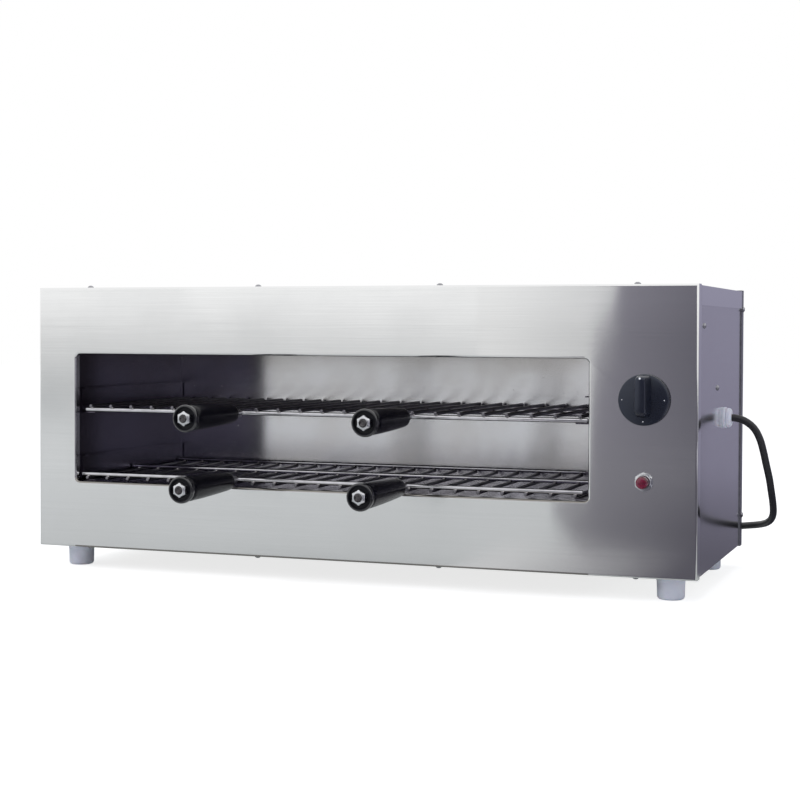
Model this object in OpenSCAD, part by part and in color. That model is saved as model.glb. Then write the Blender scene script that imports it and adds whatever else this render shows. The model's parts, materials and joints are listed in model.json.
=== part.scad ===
// Electric cheese melter: a countertop box of folded stainless sheet with an open
// front window, two wire racks on pull handles and radiant elements under its ceiling.
// X runs along the front, Y from front to back, Z up; the origin is at the middle of
// the footprint, on the surface that the feet stand on. Millimetres.

/* [Casing] */
// Width of the casing
case_w = 762; // [640:1:1000]
// Depth of the casing
case_d = 305; // [290:1:420]
// Height of the casing without its feet
case_h = 298; // [290:1:420]
// Thickness of the folded sheet
sheet = 1.2; // [0.8:0.1:1.6]
// Outer radius of the bends along the front and back edges
bend_r = 2.4; // [2:0.1:4]
// Depth of the front and back panels' return flanges
return_d = 16; // [14:1:20]
// Depth of the top cover's side flanges
cover_flange = 20; // [14:1:30]
// Width of the small flanges inside the casing
tuck = 10; // [8:1:14]

/* [Window] */
// Distance from the casing's left side to the window
window_left = 48.5; // [30:0.5:60]
// Width of the control area right of the window
control_w = 112; // [95:1:160]
// Height of the front panel below the window
border_bottom = 76; // [70:1:90]
// Height of the front panel above the window
border_top = 76; // [66:1:90]
// Radius of the window's corners
window_r = 5; // [3:0.5:8]
// Depth of the lip folded in round the window
window_lip = 8; // [5:0.5:9]

/* [Heating chamber] */
// Depth of the chamber from the front face to its rear wall
chamber_d = 258.5; // [250:0.5:270]
// Height of the chamber floor above the casing's base
chamber_floor_z = 58; // [45:1:62]
// Distance of the chamber ceiling below the casing's top
ceiling_drop = 36; // [30:1:46]
// Gap between the insulation slab on the ceiling and the cover's sheet
insulation_gap = 4.4; // [4:0.2:12]

/* [Heating elements] */
// Diameter of the tubular elements
element_d = 8; // [6:0.1:10]
// Distance of an element's axis below the ceiling
element_drop = 16; // [12:1:20]
// Distance between the two legs of one element
element_pitch = 40; // [30:1:50]
// Depth of the front element's middle behind the front face
front_element_y = 84; // [60:1:90]
// Depth of the rear element's middle behind the front face
rear_element_y = 180; // [160:1:200]
// Distance of the elements' bends from the window's left side
element_inset = 45; // [30:1:80]
// Length of an element's cold end in the control box
element_tail = 22; // [16:1:30]
// Distance of the element hangers from the chamber's middle
hanger_x = 170; // [100:1:240]

/* [Racks] */
// Gap between the ends of the racks' cross rods and the window's sides
rack_side_gap = 4.75; // [4:0.25:8]
// Diameter of the racks' rods
rod_d = 5; // [4:0.1:6]
// Diameter of the racks' wires
wire_d = 4; // [3:0.1:4.5]
// Number of wires in a rack
wire_count = 23; // [15:1:27]
// Distance of the outer wires from the cross rods' ends
wire_margin = 7.8; // [5:0.2:12]
// Depth of the wire ends beyond the outer rods
wire_overhang = 4; // [2:0.5:6]
// How deep the welds sink a wire into a rod
weld = 0.5; // [0.3:0.1:0.8]
// Depth of the front rod behind the front face
front_rod_y = 12; // [11:0.5:14]
// Depth of the rear rod behind the front face
rear_rod_y = 248; // [236:1:250]
// Height of the upper rack's rods above the casing's base
upper_rod_z = 158; // [150:1:165]
// Height of the lower rack's rods above the casing's base
lower_rod_z = 83.5; // [83:0.5:90]
// Sideways place of the upper rack in its runners
upper_rack_shift = 2; // [-2:0.5:2]
// Sideways place of the lower rack in its runners
lower_rack_shift = -3; // [-3:0.5:2]
// Distance that a rack pulls out
rack_travel = 200; // [100:5:200]

/* [Rack runners] */
// Height of a runner
runner_h = 29; // [24:1:32]
// Width of the lip that carries the rack
runner_lip = 18; // [16:1:22]
// Width of the lip that keeps the rack from tipping
runner_guard = 8; // [5:1:14]
// Gap between a rack and the runner under it
rack_gap = 0.3; // [0.2:0.1:1]

/* [Pull handles] */
// Length of a handle
handle_l = 118; // [80:1:140]
// Diameter of a handle at its front
handle_front_d = 29.5; // [24:0.5:34]
// Diameter of a handle at its back
handle_back_d = 18; // [14:0.5:22]
// Distance between a rack's two handles
handle_spacing = 200; // [150:1:400]
// Gap between a handle's back end and the front panel
handle_gap = 2; // [1:0.5:10]
// Diameter of the stud through a handle
stud_d = 8; // [5:0.5:8]
// Size across flats of the nut on a stud
nut_af = 13; // [10:0.5:17]
// Thickness of the nut on a stud
nut_t = 6.5; // [4:0.5:8]

/* [Controls] */
// Distance of the controls' axis from the casing's right side
control_inset = 54; // [46:1:56]
// Height of the selector above the casing's base
selector_z = 181; // [160:1:190]
// Diameter of the selector knob's skirt
knob_d = 53; // [40:1:60]
// Thickness of the skirt
skirt_t = 9; // [6:0.5:12]
// Height of the knob's grip over the panel
grip_h = 25; // [18:1:32]
// Width of the grip's front face
grip_w = 9; // [7:0.5:12]
// Gap between the skirt and the panel
knob_gap = 0.8; // [0.5:0.1:2]
// Diameter of the selector's shaft
shaft_d = 6; // [5:0.5:8]
// Height of the indicator lamp above the casing's base
lamp_z = 98; // [70:1:120]
// Diameter of the indicator's lens
lens_d = 12.8; // [10:0.1:16]
// Height of the lens over the panel
lens_h = 14; // [8:0.5:18]
// Diameter of the indicator's bezel
bezel_d = 19; // [18:0.5:24]

/* [Mains lead] */
// Diameter of the mains cord
cord_d = 8; // [6:0.5:9]
// Depth of the cable gland behind the front face
gland_y = 170; // [150:1:200]
// Height of the cable gland above the casing's base
gland_z = 156; // [140:1:180]
// Diameter of the gland's flange
gland_d = 23; // [20:0.5:28]
// Height of the gland over the side panel
gland_h = 9; // [7:0.5:14]

/* [Feet] */
// Height of the casing over the surface it stands on
foot_h = 25; // [15:1:60]
// Diameter of a foot
foot_d = 30; // [24:1:40]
// Distance of a foot's axis from the casing's side
foot_inset_x = 33; // [28:1:60]
// Distance of a foot's axis from the casing's front or back
foot_inset_y = 38; // [36:1:60]

/* [Fasteners] */
// Diameter of the sheet screws
screw_d = 4; // [3:0.5:5]
// Diameter of a sheet screw's head
screw_head_d = 8; // [6:0.5:10]
// Height of a sheet screw's head
screw_head_h = 2.8; // [2:0.1:4]
// Length of a sheet screw's shank
screw_l = 6; // [5:0.5:8]
// Number of screws along each long edge of a panel
edge_screws = 4; // [2:1:6]
// Distance of the first and last of them from the casing's side
edge_screw_margin = 63.5; // [40:0.5:90]

/* [Hidden] */

$fn = 48;
// A cut runs this far past the face it opens
past = 1;
// Clearances: a screw in its hole, a rod in its bore, a turning shaft
hole_gap = 0.1;
bore_gap = 0.1;
running_gap = 0.05;
// Gap where two sheets of the outer layer meet
seam = 0.5;

// Reach of the handles' stud ends in front of the front face
nut_recess = 3;
stud_proud = 1.5;
handle_front_y = -handle_gap - handle_l;
stud_front_y = handle_front_y + nut_recess - nut_t - stud_proud;
front_y = -(case_d + stud_front_y) / 2;
back_y = front_y + case_d;

half_w = case_w / 2;
base_z = foot_h;
top_z = foot_h + case_h;

window_w = case_w - window_left - control_w;
window_h = case_h - border_bottom - border_top;
window_x = -half_w + window_left + window_w / 2;
window_z = foot_h + border_bottom;
control_x = half_w - control_inset;

// The chamber's side walls stand just outside the window's lip
wall_x = window_w / 2 + sheet;
floor_z = foot_h + chamber_floor_z;
ceiling_z = top_z - ceiling_drop;
rear_wall_y = front_y + chamber_d;
inside_bottom = base_z + 2 * sheet;
inside_top = top_z - 2 * sheet;

element_z = ceiling_z - element_drop;
element_bend_x = window_x - window_w / 2 + element_inset;
element_end_x = window_x + wall_x + sheet + element_tail;

screw_step = (case_w - 2 * edge_screw_margin) / (edge_screws - 1);
flange_screw_y = return_d / 2;
side_screws_z = [36, case_h - 22];

steel = [0.78, 0.78, 0.8];
dark_steel = [0.55, 0.55, 0.6];
wire_steel = [0.7, 0.7, 0.72];
black = [0.07, 0.07, 0.09];
nylon = [0.92, 0.92, 0.95];
brass = [0.8, 0.65, 0.3];
red = [0.6, 0.05, 0.08];
ceramic = [0.9, 0.88, 0.82];

// ---- shared shapes ----

// A rectangle whose first two corners (on the low-Y side) are rounded
module front_rounded(w, d, r) {
    translate([-w / 2 + r, 0]) square([w - 2 * r, d]);
    translate([-w / 2, r]) square([w, d - r]);
    for (side = [-1, 1]) translate([side * (w / 2 - r), r]) circle(r);
}

// A solid block with its front edges bent round: width, height, depth, radius
module bent_block(w, h, d, r) {
    intersection() {
        translate([0, 0, -h / 2]) linear_extrude(h) front_rounded(w, d, r);
        rotate([0, 90, 0]) translate([0, 0, -w / 2])
            linear_extrude(w) front_rounded(h, d, r);
    }
}

// An open pan of sheet: its face at y = 0 and its flanges running back
module pan(w, h, d) {
    difference() {
        bent_block(w, h, d, bend_r);
        translate([0, sheet, 0])
            bent_block(w - 2 * sheet, h - 2 * sheet, d, bend_r - sheet);
    }
}

module rounded_rect(w, h, r) {
    square([w - 2 * r, h], center = true);
    square([w, h - 2 * r], center = true);
    for (x = [-1, 1], y = [-1, 1]) translate([x * (w / 2 - r), y * (h / 2 - r)]) circle(r);
}

// Pan-head screw: the head stands on z = 0 and the shank runs down
module pan_screw(shank) {
    translate([0, 0, -shank]) cylinder(d = screw_d, h = shank + 0.2, $fn = 24);
    rotate_extrude($fn = 32) intersection() {
        square([screw_head_d / 2, screw_head_h]);
        translate([0, -dome_r + screw_head_h]) circle(dome_r, $fn = 64);
    }
}
dome_r = (pow(screw_head_d / 2, 2) + pow(screw_head_h - 0.8, 2)) / (2 * (screw_head_h - 0.8));

module screw_hole(d = screw_d) {
    translate([0, 0, -10]) cylinder(d = d + 2 * hole_gap, h = 20, $fn = 24);
}

module hex(af, h) {
    cylinder(d = af / cos(30), h = h, $fn = 6);
}

// Puts its children at the screws along a panel's top and bottom flanges, heads out
module at_edge_screws(y) {
    for (i = [0 : edge_screws - 1]) {
        x = -half_w + edge_screw_margin + i * screw_step;
        translate([x, y, top_z]) children();
        translate([x, y, base_z]) rotate([180, 0, 0]) children();
    }
}

// Puts its children at the screws on a back panel's side flanges, heads out
module at_side_screws(y) {
    for (side = [-1, 1], z = side_screws_z)
        translate([side * half_w, y, base_z + z]) rotate([0, side * 90, 0]) children();
}

module at_feet() {
    for (side = [-1, 1], end = [0, 1]) translate([side * (half_w - foot_inset_x),
        end == 0 ? front_y + foot_inset_y : back_y - foot_inset_y, 0]) children();
}

// ---- casing ----

module window_cut(depth, grow = 0) {
    translate([window_x, front_y - past, window_z + window_h / 2]) rotate([-90, 0, 0])
        linear_extrude(depth)
            rounded_rect(window_w + 2 * grow, window_h + 2 * grow, window_r + grow);
}

// Section of the lip bent in round the window: distance from the window, then depth
module lip_section() {
    translate([0, bend_r]) square([sheet, window_lip - bend_r]);
    translate([bend_r, bend_r]) intersection() {
        difference() {
            circle(bend_r);
            circle(bend_r - sheet);
        }
        translate([-bend_r, -bend_r]) square([bend_r, bend_r]);
    }
    translate([bend_r - 0.01, 0]) square([0.1, sheet]);
}

// The lip: four straight stretches and four corners, its face at z = 0
module lip_ring() for (turn = [0 : 3]) rotate([0, 0, turn * 90]) {
    half = (turn % 2 == 0 ? window_w : window_h) / 2;
    run = (turn % 2 == 0 ? window_h : window_w) / 2 - window_r;
    translate([half, run, 0]) rotate([90, 0, 0]) linear_extrude(2 * run) lip_section();
    translate([half - window_r, run, 0]) rotate_extrude(angle = 90)
        translate([window_r, 0]) lip_section();
}

module front_panel() color(steel) difference() {
    union() {
        difference() {
            translate([0, front_y, base_z + case_h / 2]) pan(case_w, case_h, return_d);
            window_cut(sheet + 2 * past, bend_r);
        }
        translate([window_x, front_y, window_z + window_h / 2]) rotate([-90, 0, 0]) lip_ring();
    }
    at_edge_screws(front_y + flange_screw_y) screw_hole();
    translate([control_x, front_y, base_z + selector_z]) rotate([90, 0, 0]) {
        translate([0, 0, -5]) cylinder(d = shaft_d + 4, h = 10);
        selector_screw_places() screw_hole(selector_screw_d);
    }
    translate([control_x, front_y, base_z + lamp_z]) rotate([90, 0, 0])
        translate([0, 0, -5]) cylinder(d = lamp_neck_d + 2 * hole_gap, h = 10);
}

// The second layer of sheet starts behind the bends of the front and back panels
inner_y = front_y + bend_r;
inner_d = case_d - 2 * bend_r;

// The cover's sheet lies under the pans' flanges, its side flanges lie between them
module top_cover() color(steel) difference() {
    between_y = front_y + return_d + seam;
    between_d = case_d - 2 * (return_d + seam);
    union() {
        translate([-half_w + sheet, inner_y, top_z - 2 * sheet])
            cube([case_w - 2 * sheet, inner_d, sheet]);
        translate([-half_w, between_y, top_z - 2 * sheet]) cube([case_w, between_d, sheet]);
        for (side = [-1, 1]) translate([side * (half_w - sheet / 2) - sheet / 2, between_y,
            top_z - sheet - cover_flange]) cube([sheet, between_d, cover_flange]);
    }
    at_edge_screws(front_y + flange_screw_y) screw_hole();
    at_edge_screws(back_y - flange_screw_y) screw_hole();
}

module bottom_panel() color(steel) difference() {
    union() {
        translate([-half_w + sheet, inner_y, base_z + sheet])
            cube([case_w - 2 * sheet, inner_d, sheet]);
        for (side = [-1, 1]) translate([side * (half_w - 2.5 * sheet) - sheet / 2, inner_y,
            base_z + sheet]) cube([sheet, inner_d, tuck]);
    }
    at_edge_screws(front_y + flange_screw_y) screw_hole();
    at_edge_screws(back_y - flange_screw_y) screw_hole();
    at_feet() translate([0, 0, base_z]) screw_hole(foot_screw_d);
}

// A side panel stands in the second layer, with a flange in under the cover
module side_panel(side) difference() {
    union() {
        translate([side * (half_w - 1.5 * sheet) - sheet / 2, inner_y, base_z + 2 * sheet])
            cube([sheet, inner_d, case_h - 4 * sheet]);
        translate([side * (half_w - sheet - tuck / 2) - tuck / 2, inner_y, top_z - 3 * sheet])
            cube([tuck, inner_d, sheet]);
    }
    at_side_screws(back_y - flange_screw_y) screw_hole();
}

module left_side_panel() color(steel) side_panel(-1);

module right_side_panel() color(steel) difference() {
    side_panel(1);
    at_gland() translate([0, 0, -10]) cylinder(d = gland_thread_d + 2 * hole_gap, h = 20);
    at_terminal_screw() screw_hole();
    at_earth_screw() screw_hole();
}

module back_panel() color(steel) difference() {
    translate([0, back_y, base_z + case_h / 2]) rotate([0, 0, 180]) pan(case_w, case_h, return_d);
    at_edge_screws(back_y - flange_screw_y) screw_hole();
    at_side_screws(back_y - flange_screw_y) screw_hole();
}

module front_panel_screws() color(dark_steel)
    at_edge_screws(front_y + flange_screw_y) pan_screw(screw_l);

module back_panel_screws() color(dark_steel) {
    at_edge_screws(back_y - flange_screw_y) pan_screw(screw_l);
    at_side_screws(back_y - flange_screw_y) pan_screw(screw_l);
}

// ---- heating chamber ----

// A full-height partition with flanges turned away from the chamber, cut clear of the
// nuts on the feet's screws
module partition(side) difference() {
    union() {
        translate([window_x + side * (wall_x + sheet / 2) - sheet / 2, inner_y, inside_bottom])
            cube([sheet, inner_d, inside_top - inside_bottom]);
        for (z = [inside_bottom, inside_top - sheet])
            translate([window_x + side * (wall_x + tuck / 2) - tuck / 2, inner_y, z])
                cube([tuck, inner_d, sheet]);
    }
    at_feet() translate([0, 0, inside_bottom - past])
        cylinder(d = foot_nut_clear_d, h = foot_screw_l + past);
}

module left_inner_wall() color(dark_steel) partition(-1);

module right_inner_wall() color(dark_steel) difference() {
    partition(1);
    at_element_legs() translate([-past - sheet, 0, 0]) rotate([0, 90, 0])
        cylinder(d = bush_d + 2 * hole_gap, h = 3 * sheet + 2 * past);
}

module rear_inner_wall() color(steel) {
    translate([window_x - wall_x, rear_wall_y, floor_z])
        cube([2 * wall_x, sheet, ceiling_z - floor_z]);
    for (side = [-1, 1])
        translate([window_x + side * (wall_x - sheet / 2) - sheet / 2, rear_wall_y, floor_z])
            cube([sheet, tuck, ceiling_z - floor_z]);
}

// Floor and ceiling sheets run from the front panel to past the rear wall
module chamber_plate(z, flange_z) {
    plate_d = chamber_d + tuck - sheet;
    translate([window_x - wall_x, front_y + sheet, z]) cube([2 * wall_x, plate_d, sheet]);
    for (side = [-1, 1])
        translate([window_x + side * (wall_x - sheet / 2) - sheet / 2, front_y + sheet, flange_z])
            cube([sheet, plate_d, tuck]);
}

module chamber_floor() color(dark_steel)
    chamber_plate(floor_z - sheet, floor_z - tuck);

module chamber_ceiling() color(dark_steel)
    chamber_plate(ceiling_z, ceiling_z);

// The slab lies on the ceiling sheet between its flanges
slab_gap = 0.5;
module ceiling_insulation() color(ceramic)
    translate([window_x - wall_x + sheet + slab_gap, front_y + sheet + slab_gap, ceiling_z + sheet])
        cube([2 * (wall_x - sheet - slab_gap), chamber_d + tuck - 2 * (sheet + slab_gap),
            inside_top - insulation_gap - ceiling_z - sheet]);

// ---- heating elements ----

bush_wall = 3;
bush_d = element_d + 2 * bush_wall;
bush_flange_d = bush_d + 2 * bush_wall;
bush_flange_t = 3;
bush_neck = 9;

module at_element_legs() {
    for (y = [front_element_y, rear_element_y], leg = [-1, 1])
        translate([window_x + wall_x, front_y + y + leg * element_pitch / 2, element_z]) children();
}

// A hairpin: two straight legs and a half-round bend
module element(y) translate([0, front_y + y, element_z]) {
    bend = element_pitch / 2;
    for (leg = [-1, 1]) translate([element_bend_x, leg * bend, 0]) rotate([0, 90, 0])
        cylinder(d = element_d, h = element_end_x - element_bend_x);
    translate([element_bend_x, 0, 0]) rotate([0, 0, 90]) rotate_extrude(angle = 180)
        translate([bend, 0]) circle(d = element_d);
}

module front_element() color([0.3, 0.28, 0.28]) element(front_element_y);
module rear_element() color([0.3, 0.28, 0.28]) element(rear_element_y);

// Two angle strips under the ceiling, each with a hole for every leg
module element_hangers() color(steel) for (side = [-1, 1])
    translate([window_x + side * hanger_x, 0, 0]) difference() {
        union() {
            translate([-sheet / 2, front_y + front_element_y - element_pitch, element_z - element_d])
                cube([sheet, hanger_l, ceiling_z - element_z + element_d]);
            translate([-sheet / 2, front_y + front_element_y - element_pitch, ceiling_z - sheet])
                cube([tuck, hanger_l, sheet]);
        }
        at_element_legs() translate([-window_x - wall_x - 5, 0, 0]) rotate([0, 90, 0])
            cylinder(d = element_d + 2 * bore_gap, h = 10);
    }
hanger_l = rear_element_y - front_element_y + 2 * element_pitch;

// Flanged ceramic bushes that carry the legs through the chamber's right wall
module element_bushes() color(ceramic) at_element_legs() rotate([0, 90, 0]) difference() {
    union() {
        translate([0, 0, -bush_flange_t]) cylinder(d = bush_flange_d, h = bush_flange_t);
        translate([0, 0, -0.2]) cylinder(d = bush_d, h = bush_neck + 0.2);
    }
    translate([0, 0, -bush_flange_t - past])
        cylinder(d = element_d + 2 * bore_gap, h = 2 * (bush_flange_t + bush_neck + past));
}

// Threaded ends with their nuts
terminal_l = 11;
module element_terminals() color(brass)
    at_element_legs() translate([sheet + element_tail, 0, 0]) rotate([0, 90, 0]) {
        cylinder(d = 4, h = terminal_l);
        translate([0, 0, 3]) hex(8, 3.2);
    }

// ---- racks ----

rack_w = window_w - 2 * rack_side_gap;
wire_pitch = (rack_w - 2 * wire_margin) / (wire_count - 1);
upper_z = foot_h + upper_rod_z;
lower_z = foot_h + lower_rod_z;
mid_rod_y = (front_rod_y + rear_rod_y) / 2;

module rod_x(x, y, z) translate([x - rack_w / 2, front_y + y, z]) rotate([0, 90, 0])
    cylinder(d = rod_d, h = rack_w, $fn = 24);

// A welded rack: rods along X and wires along Y on one side of them
module rack(shift, z, wire_side) {
    x = window_x + shift;
    for (y = [front_rod_y, mid_rod_y, rear_rod_y]) rod_x(x, y, z);
    wire_z = z + wire_side * (rod_d / 2 + wire_d / 2 - weld);
    for (i = [0 : wire_count - 1])
        translate([x + (i - (wire_count - 1) / 2) * wire_pitch,
            front_y + front_rod_y - wire_overhang, wire_z]) rotate([-90, 0, 0])
            cylinder(d = wire_d, h = rear_rod_y - front_rod_y + 2 * wire_overhang, $fn = 24);
}

// Two threaded studs, their ends dished to sit on the front rod where they are welded
module handle_studs(shift, z) difference() {
    for (side = [-1, 1])
        translate([window_x + shift + side * handle_spacing / 2, front_y + stud_front_y, z])
            rotate([-90, 0, 0]) rotate_extrude($fn = 32) polygon([[0, 0],
                [stud_d / 2 - stud_chamfer, 0], [stud_d / 2, stud_chamfer],
                [stud_d / 2, stud_l], [0, stud_l]]);
    rod_x(window_x + shift, front_rod_y, z);
}
stud_chamfer = 0.8;
stud_l = front_rod_y - rod_d / 2 + weld - stud_front_y;

module upper_rack() color(wire_steel) rack(upper_rack_shift, upper_z, 1);
module lower_rack() color(wire_steel) rack(lower_rack_shift, lower_z, -1);
module upper_handle_studs() color(wire_steel) handle_studs(upper_rack_shift, upper_z);
module lower_handle_studs() color(wire_steel) handle_studs(lower_rack_shift, lower_z);

// Half outline of a handle, from its rounded back end (0) to the recess in its front
module handle_profile() {
    front_r = handle_front_d / 2;
    back_r = handle_back_d / 2;
    bore_r = stud_d / 2 + bore_gap;
    swell = front_r - collar_step - back_r;
    collar = handle_l - 2 * collar_r;
    difference() {
        union() {
            polygon(concat([[bore_r, 0]],
                [for (a = [-90 : 15 : 0]) [back_r - end_r + end_r * cos(a), end_r + end_r * sin(a)]],
                [for (i = [1 : 6]) [back_r + swell * sin(15 * i),
                    end_r + (collar - collar_groove - end_r) * i / 6]],
                [[front_r - collar_step - 0.8, collar - collar_groove / 2], [front_r - 0.6, collar],
                [front_r, handle_l - collar_r], [bore_r, handle_l - collar_r]]));
            translate([front_r - collar_r, handle_l - collar_r]) circle(collar_r, $fn = 40);
            translate([bore_r, handle_l - 2 * collar_r])
                square([front_r - collar_r - bore_r, 2 * collar_r - face_dish]);
        }
        translate([-past, handle_l - nut_recess]) square([past + nut_af * 0.85, nut_recess + past]);
    }
}
end_r = 5;
collar_r = 3;
collar_step = 1.4;
collar_groove = 2.4;
face_dish = 0.8;

module handle(shift, z, side) translate([window_x + shift + side * handle_spacing / 2,
    front_y - handle_gap, z]) rotate([90, 0, 0]) rotate_extrude($fn = 64) handle_profile();

module handle_nuts(shift, z) for (side = [-1, 1])
    translate([window_x + shift + side * handle_spacing / 2,
        front_y + handle_front_y + nut_recess, z]) rotate([90, 0, 0]) difference() {
        intersection() {
            hex(nut_af, nut_t);
            rotate_extrude($fn = 48) polygon([[0, 0], [nut_af, 0], [nut_af, nut_t - 2.5],
                [nut_af / 2, nut_t], [0, nut_t]]);
        }
        translate([0, 0, -past]) cylinder(d = stud_d + 0.1, h = nut_t + 2 * past);
    }

module upper_left_handle() color(black) handle(upper_rack_shift, upper_z, -1);
module upper_right_handle() color(black) handle(upper_rack_shift, upper_z, 1);
module upper_handle_nuts() color("silver") handle_nuts(upper_rack_shift, upper_z);
module lower_left_handle() color(black) handle(lower_rack_shift, lower_z, -1);
module lower_right_handle() color(black) handle(lower_rack_shift, lower_z, 1);
module lower_handle_nuts() color("silver") handle_nuts(lower_rack_shift, lower_z);

// ---- runners ----

runner_y = front_rod_y + 2;
runner_l = rear_rod_y - runner_y + wire_overhang;

// A channel on the chamber's wall, its carrying lip's top at height z
module runner(side, z) translate([window_x + side * wall_x, front_y + runner_y, z - sheet]) {
    translate([-sheet * (side + 1) / 2, 0, 0]) cube([sheet, runner_l, runner_h]);
    translate([-runner_lip * (side + 1) / 2, 0, 0]) cube([runner_lip, runner_l, sheet]);
    translate([-runner_guard * (side + 1) / 2, 0, runner_h - sheet])
        cube([runner_guard, runner_l, sheet]);
}

upper_seat_z = upper_z - rod_d / 2 - rack_gap;
lower_seat_z = lower_z - rod_d / 2 - wire_d + weld - rack_gap;

module upper_left_runner() color(dark_steel) runner(-1, upper_seat_z);
module upper_right_runner() color(dark_steel) runner(1, upper_seat_z);
module lower_left_runner() color(dark_steel) runner(-1, lower_seat_z);
module lower_right_runner() color(dark_steel) runner(1, lower_seat_z);

// ---- controls ----

selector_screw_d = 3;
switch_w = 46;
switch_d = 42;
switch_plate_t = 2.5;
shaft_flat = 0.8;
shaft_l = 32;
shaft_bore_l = 18;
knob_hub_d = shaft_d + 8;
knob_hollow_d = knob_d - 9;
lamp_neck_d = 13;

module selector_screw_places() for (side = [-1, 1]) translate([side * 14, 0, 0]) children();

module at_selector() translate([control_x, front_y, base_z + selector_z]) rotate([90, 0, 0])
    children();

// A shaft's round section with a flat on its upper side
module shaft_section(grow = 0) intersection() {
    circle(d = shaft_d + 2 * grow, $fn = 40);
    translate([-shaft_d, -shaft_d])
        square([2 * shaft_d, 1.5 * shaft_d - shaft_flat + grow]);
}

// Skirt with a bevelled rim and a full-height grip bar that narrows to its front
module selector_knob() color(black) at_selector() difference() {
    union() {
        rotate_extrude($fn = 96) polygon([[0, knob_gap], [knob_d / 2 - 0.6, knob_gap],
            [knob_d / 2, knob_gap + 0.8], [knob_d / 2, knob_gap + skirt_t - 3.5],
            [knob_d / 2 - 1.2, knob_gap + skirt_t - 1.4],
            [knob_d / 2 - 3.2, knob_gap + skirt_t - 0.3], [0, knob_gap + skirt_t]]);
        intersection() {
            rotate_extrude($fn = 96) polygon([[0, 1], [knob_d / 2 - 2, 1],
                [knob_d / 2 - 2.4, skirt_t + 1], [knob_d / 2 - 7.5, grip_h - 3],
                [knob_d / 2 - 9, grip_h - 1], [knob_d / 2 - 11, grip_h], [0, grip_h]]);
            rotate([90, 0, 0]) translate([0, 0, -knob_d / 2]) linear_extrude(knob_d)
                polygon([[-grip_w / 2 - 2.6, 1], [grip_w / 2 + 2.6, 1],
                    [grip_w / 2 + 2.2, skirt_t + 1], [grip_w / 2 + 0.5, grip_h - 2],
                    [grip_w / 2 - 0.8, grip_h + 0.1], [-grip_w / 2 + 0.8, grip_h + 0.1],
                    [-grip_w / 2 - 0.5, grip_h - 2], [-grip_w / 2 - 2.2, skirt_t + 1]]);
        }
    }
    linear_extrude(shaft_bore_l) shaft_section(bore_gap);
    rotate_extrude($fn = 96) translate([knob_hub_d / 2, 0])
        square([(knob_hollow_d - knob_hub_d) / 2, knob_gap + skirt_t - knob_wall]);
}
knob_wall = 3;

// Round in the switch, flatted along the knob's bore
module selector_shaft() color(steel) at_selector() translate([0, 0, shaft_bore_l - 0.5 - shaft_l])
    union() {
        cylinder(d = shaft_d, h = shaft_l - shaft_bore_l, $fn = 40);
        linear_extrude(shaft_l) shaft_section();
    }

// Rotary switch: a mounting plate against the panel and a stack of contact wafers
module selector_switch() color([0.85, 0.82, 0.75]) at_selector() mirror([0, 0, 1]) difference() {
    union() {
        translate([0, 0, sheet]) linear_extrude(switch_plate_t) rounded_rect(switch_w, switch_w, 3);
        translate([0, 0, sheet + switch_plate_t - 0.1]) linear_extrude(switch_d - switch_plate_t)
            rounded_rect(switch_w - 6, switch_w - 6, 4);
        for (i = [0 : 2]) translate([0, 0, sheet + 8 + 11 * i]) linear_extrude(4)
            rounded_rect(switch_w - 2, switch_w - 16, 2);
    }
    translate([0, 0, -1]) cylinder(d = shaft_d + 2 * running_gap, h = 22 + sheet);
    selector_screw_places() translate([0, 0, -1])
        cylinder(d = selector_screw_d + 2 * hole_gap, h = 9 + sheet, $fn = 24);
}

// Two flat-head screws under the knob
module selector_screws() color("silver") at_selector() selector_screw_places() {
    translate([0, 0, -7]) cylinder(d = selector_screw_d, h = 7.1, $fn = 24);
    cylinder(d1 = 5.4, d2 = 4.6, h = 1.6, $fn = 24);
}

module at_lamp() translate([control_x, front_y, base_z + lamp_z]) rotate([90, 0, 0]) children();

bezel_t = 3;

// Hexagonal bezel nut with a turned collar
module indicator_bezel() color("silver") at_lamp() difference() {
    union() {
        intersection() {
            hex(bezel_d - 1.5, bezel_t);
            rotate_extrude($fn = 64) polygon([[0, 0], [bezel_d, 0], [bezel_d, 0.6],
                [bezel_d / 2 - 1.4, bezel_t], [0, bezel_t]]);
        }
        cylinder(d = bezel_d, h = 0.8, $fn = 64);
        cylinder(d = lens_d + 2.4, h = bezel_t + 2, $fn = 48);
    }
    translate([0, 0, -1]) cylinder(d = lens_d + 2 * bore_gap, h = bezel_t + 4);
}

// Faceted-front lens: a short barrel with a domed end
module indicator_lens() color(red) at_lamp() rotate_extrude($fn = 48)
    polygon(concat([[0, 0.2], [lens_d / 2 - 0.8, 0.2], [lens_d / 2, 1]],
        [for (a = [0 : 15 : 90]) [lens_d / 2 - 3 + 3 * cos(a), lens_h - 3 + 3 * sin(a)]],
        [[0, lens_h + 0.4]]));

module indicator_body() color([0.2, 0.2, 0.22]) at_lamp() mirror([0, 0, 1]) {
    cylinder(d = lamp_neck_d, h = sheet + lamp_body_l);
    translate([0, 0, sheet]) hex(18, 4);
    for (side = [-1, 1]) translate([side * lamp_tab_x - 0.4, -2.4, sheet + lamp_body_l - past])
        cube([0.8, 4.8, lamp_tab_l + past]);
}
lamp_body_l = 26;
lamp_tab_l = 8;
lamp_tab_x = 3.5;

// ---- supply ----

side_face_x = half_w - sheet;
terminal_y = 125;
terminal_z = 190;
earth_y = 39.5;
earth_z = case_h - 42;
block_w = 18;
block_l = 52;
block_h = 20;
block_base_t = 6;
block_poles = [-20, -9.5, 9.5, 20];
pole_w = 8.5;
clamp_d = 4;
clamp_offset = 4;

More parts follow.
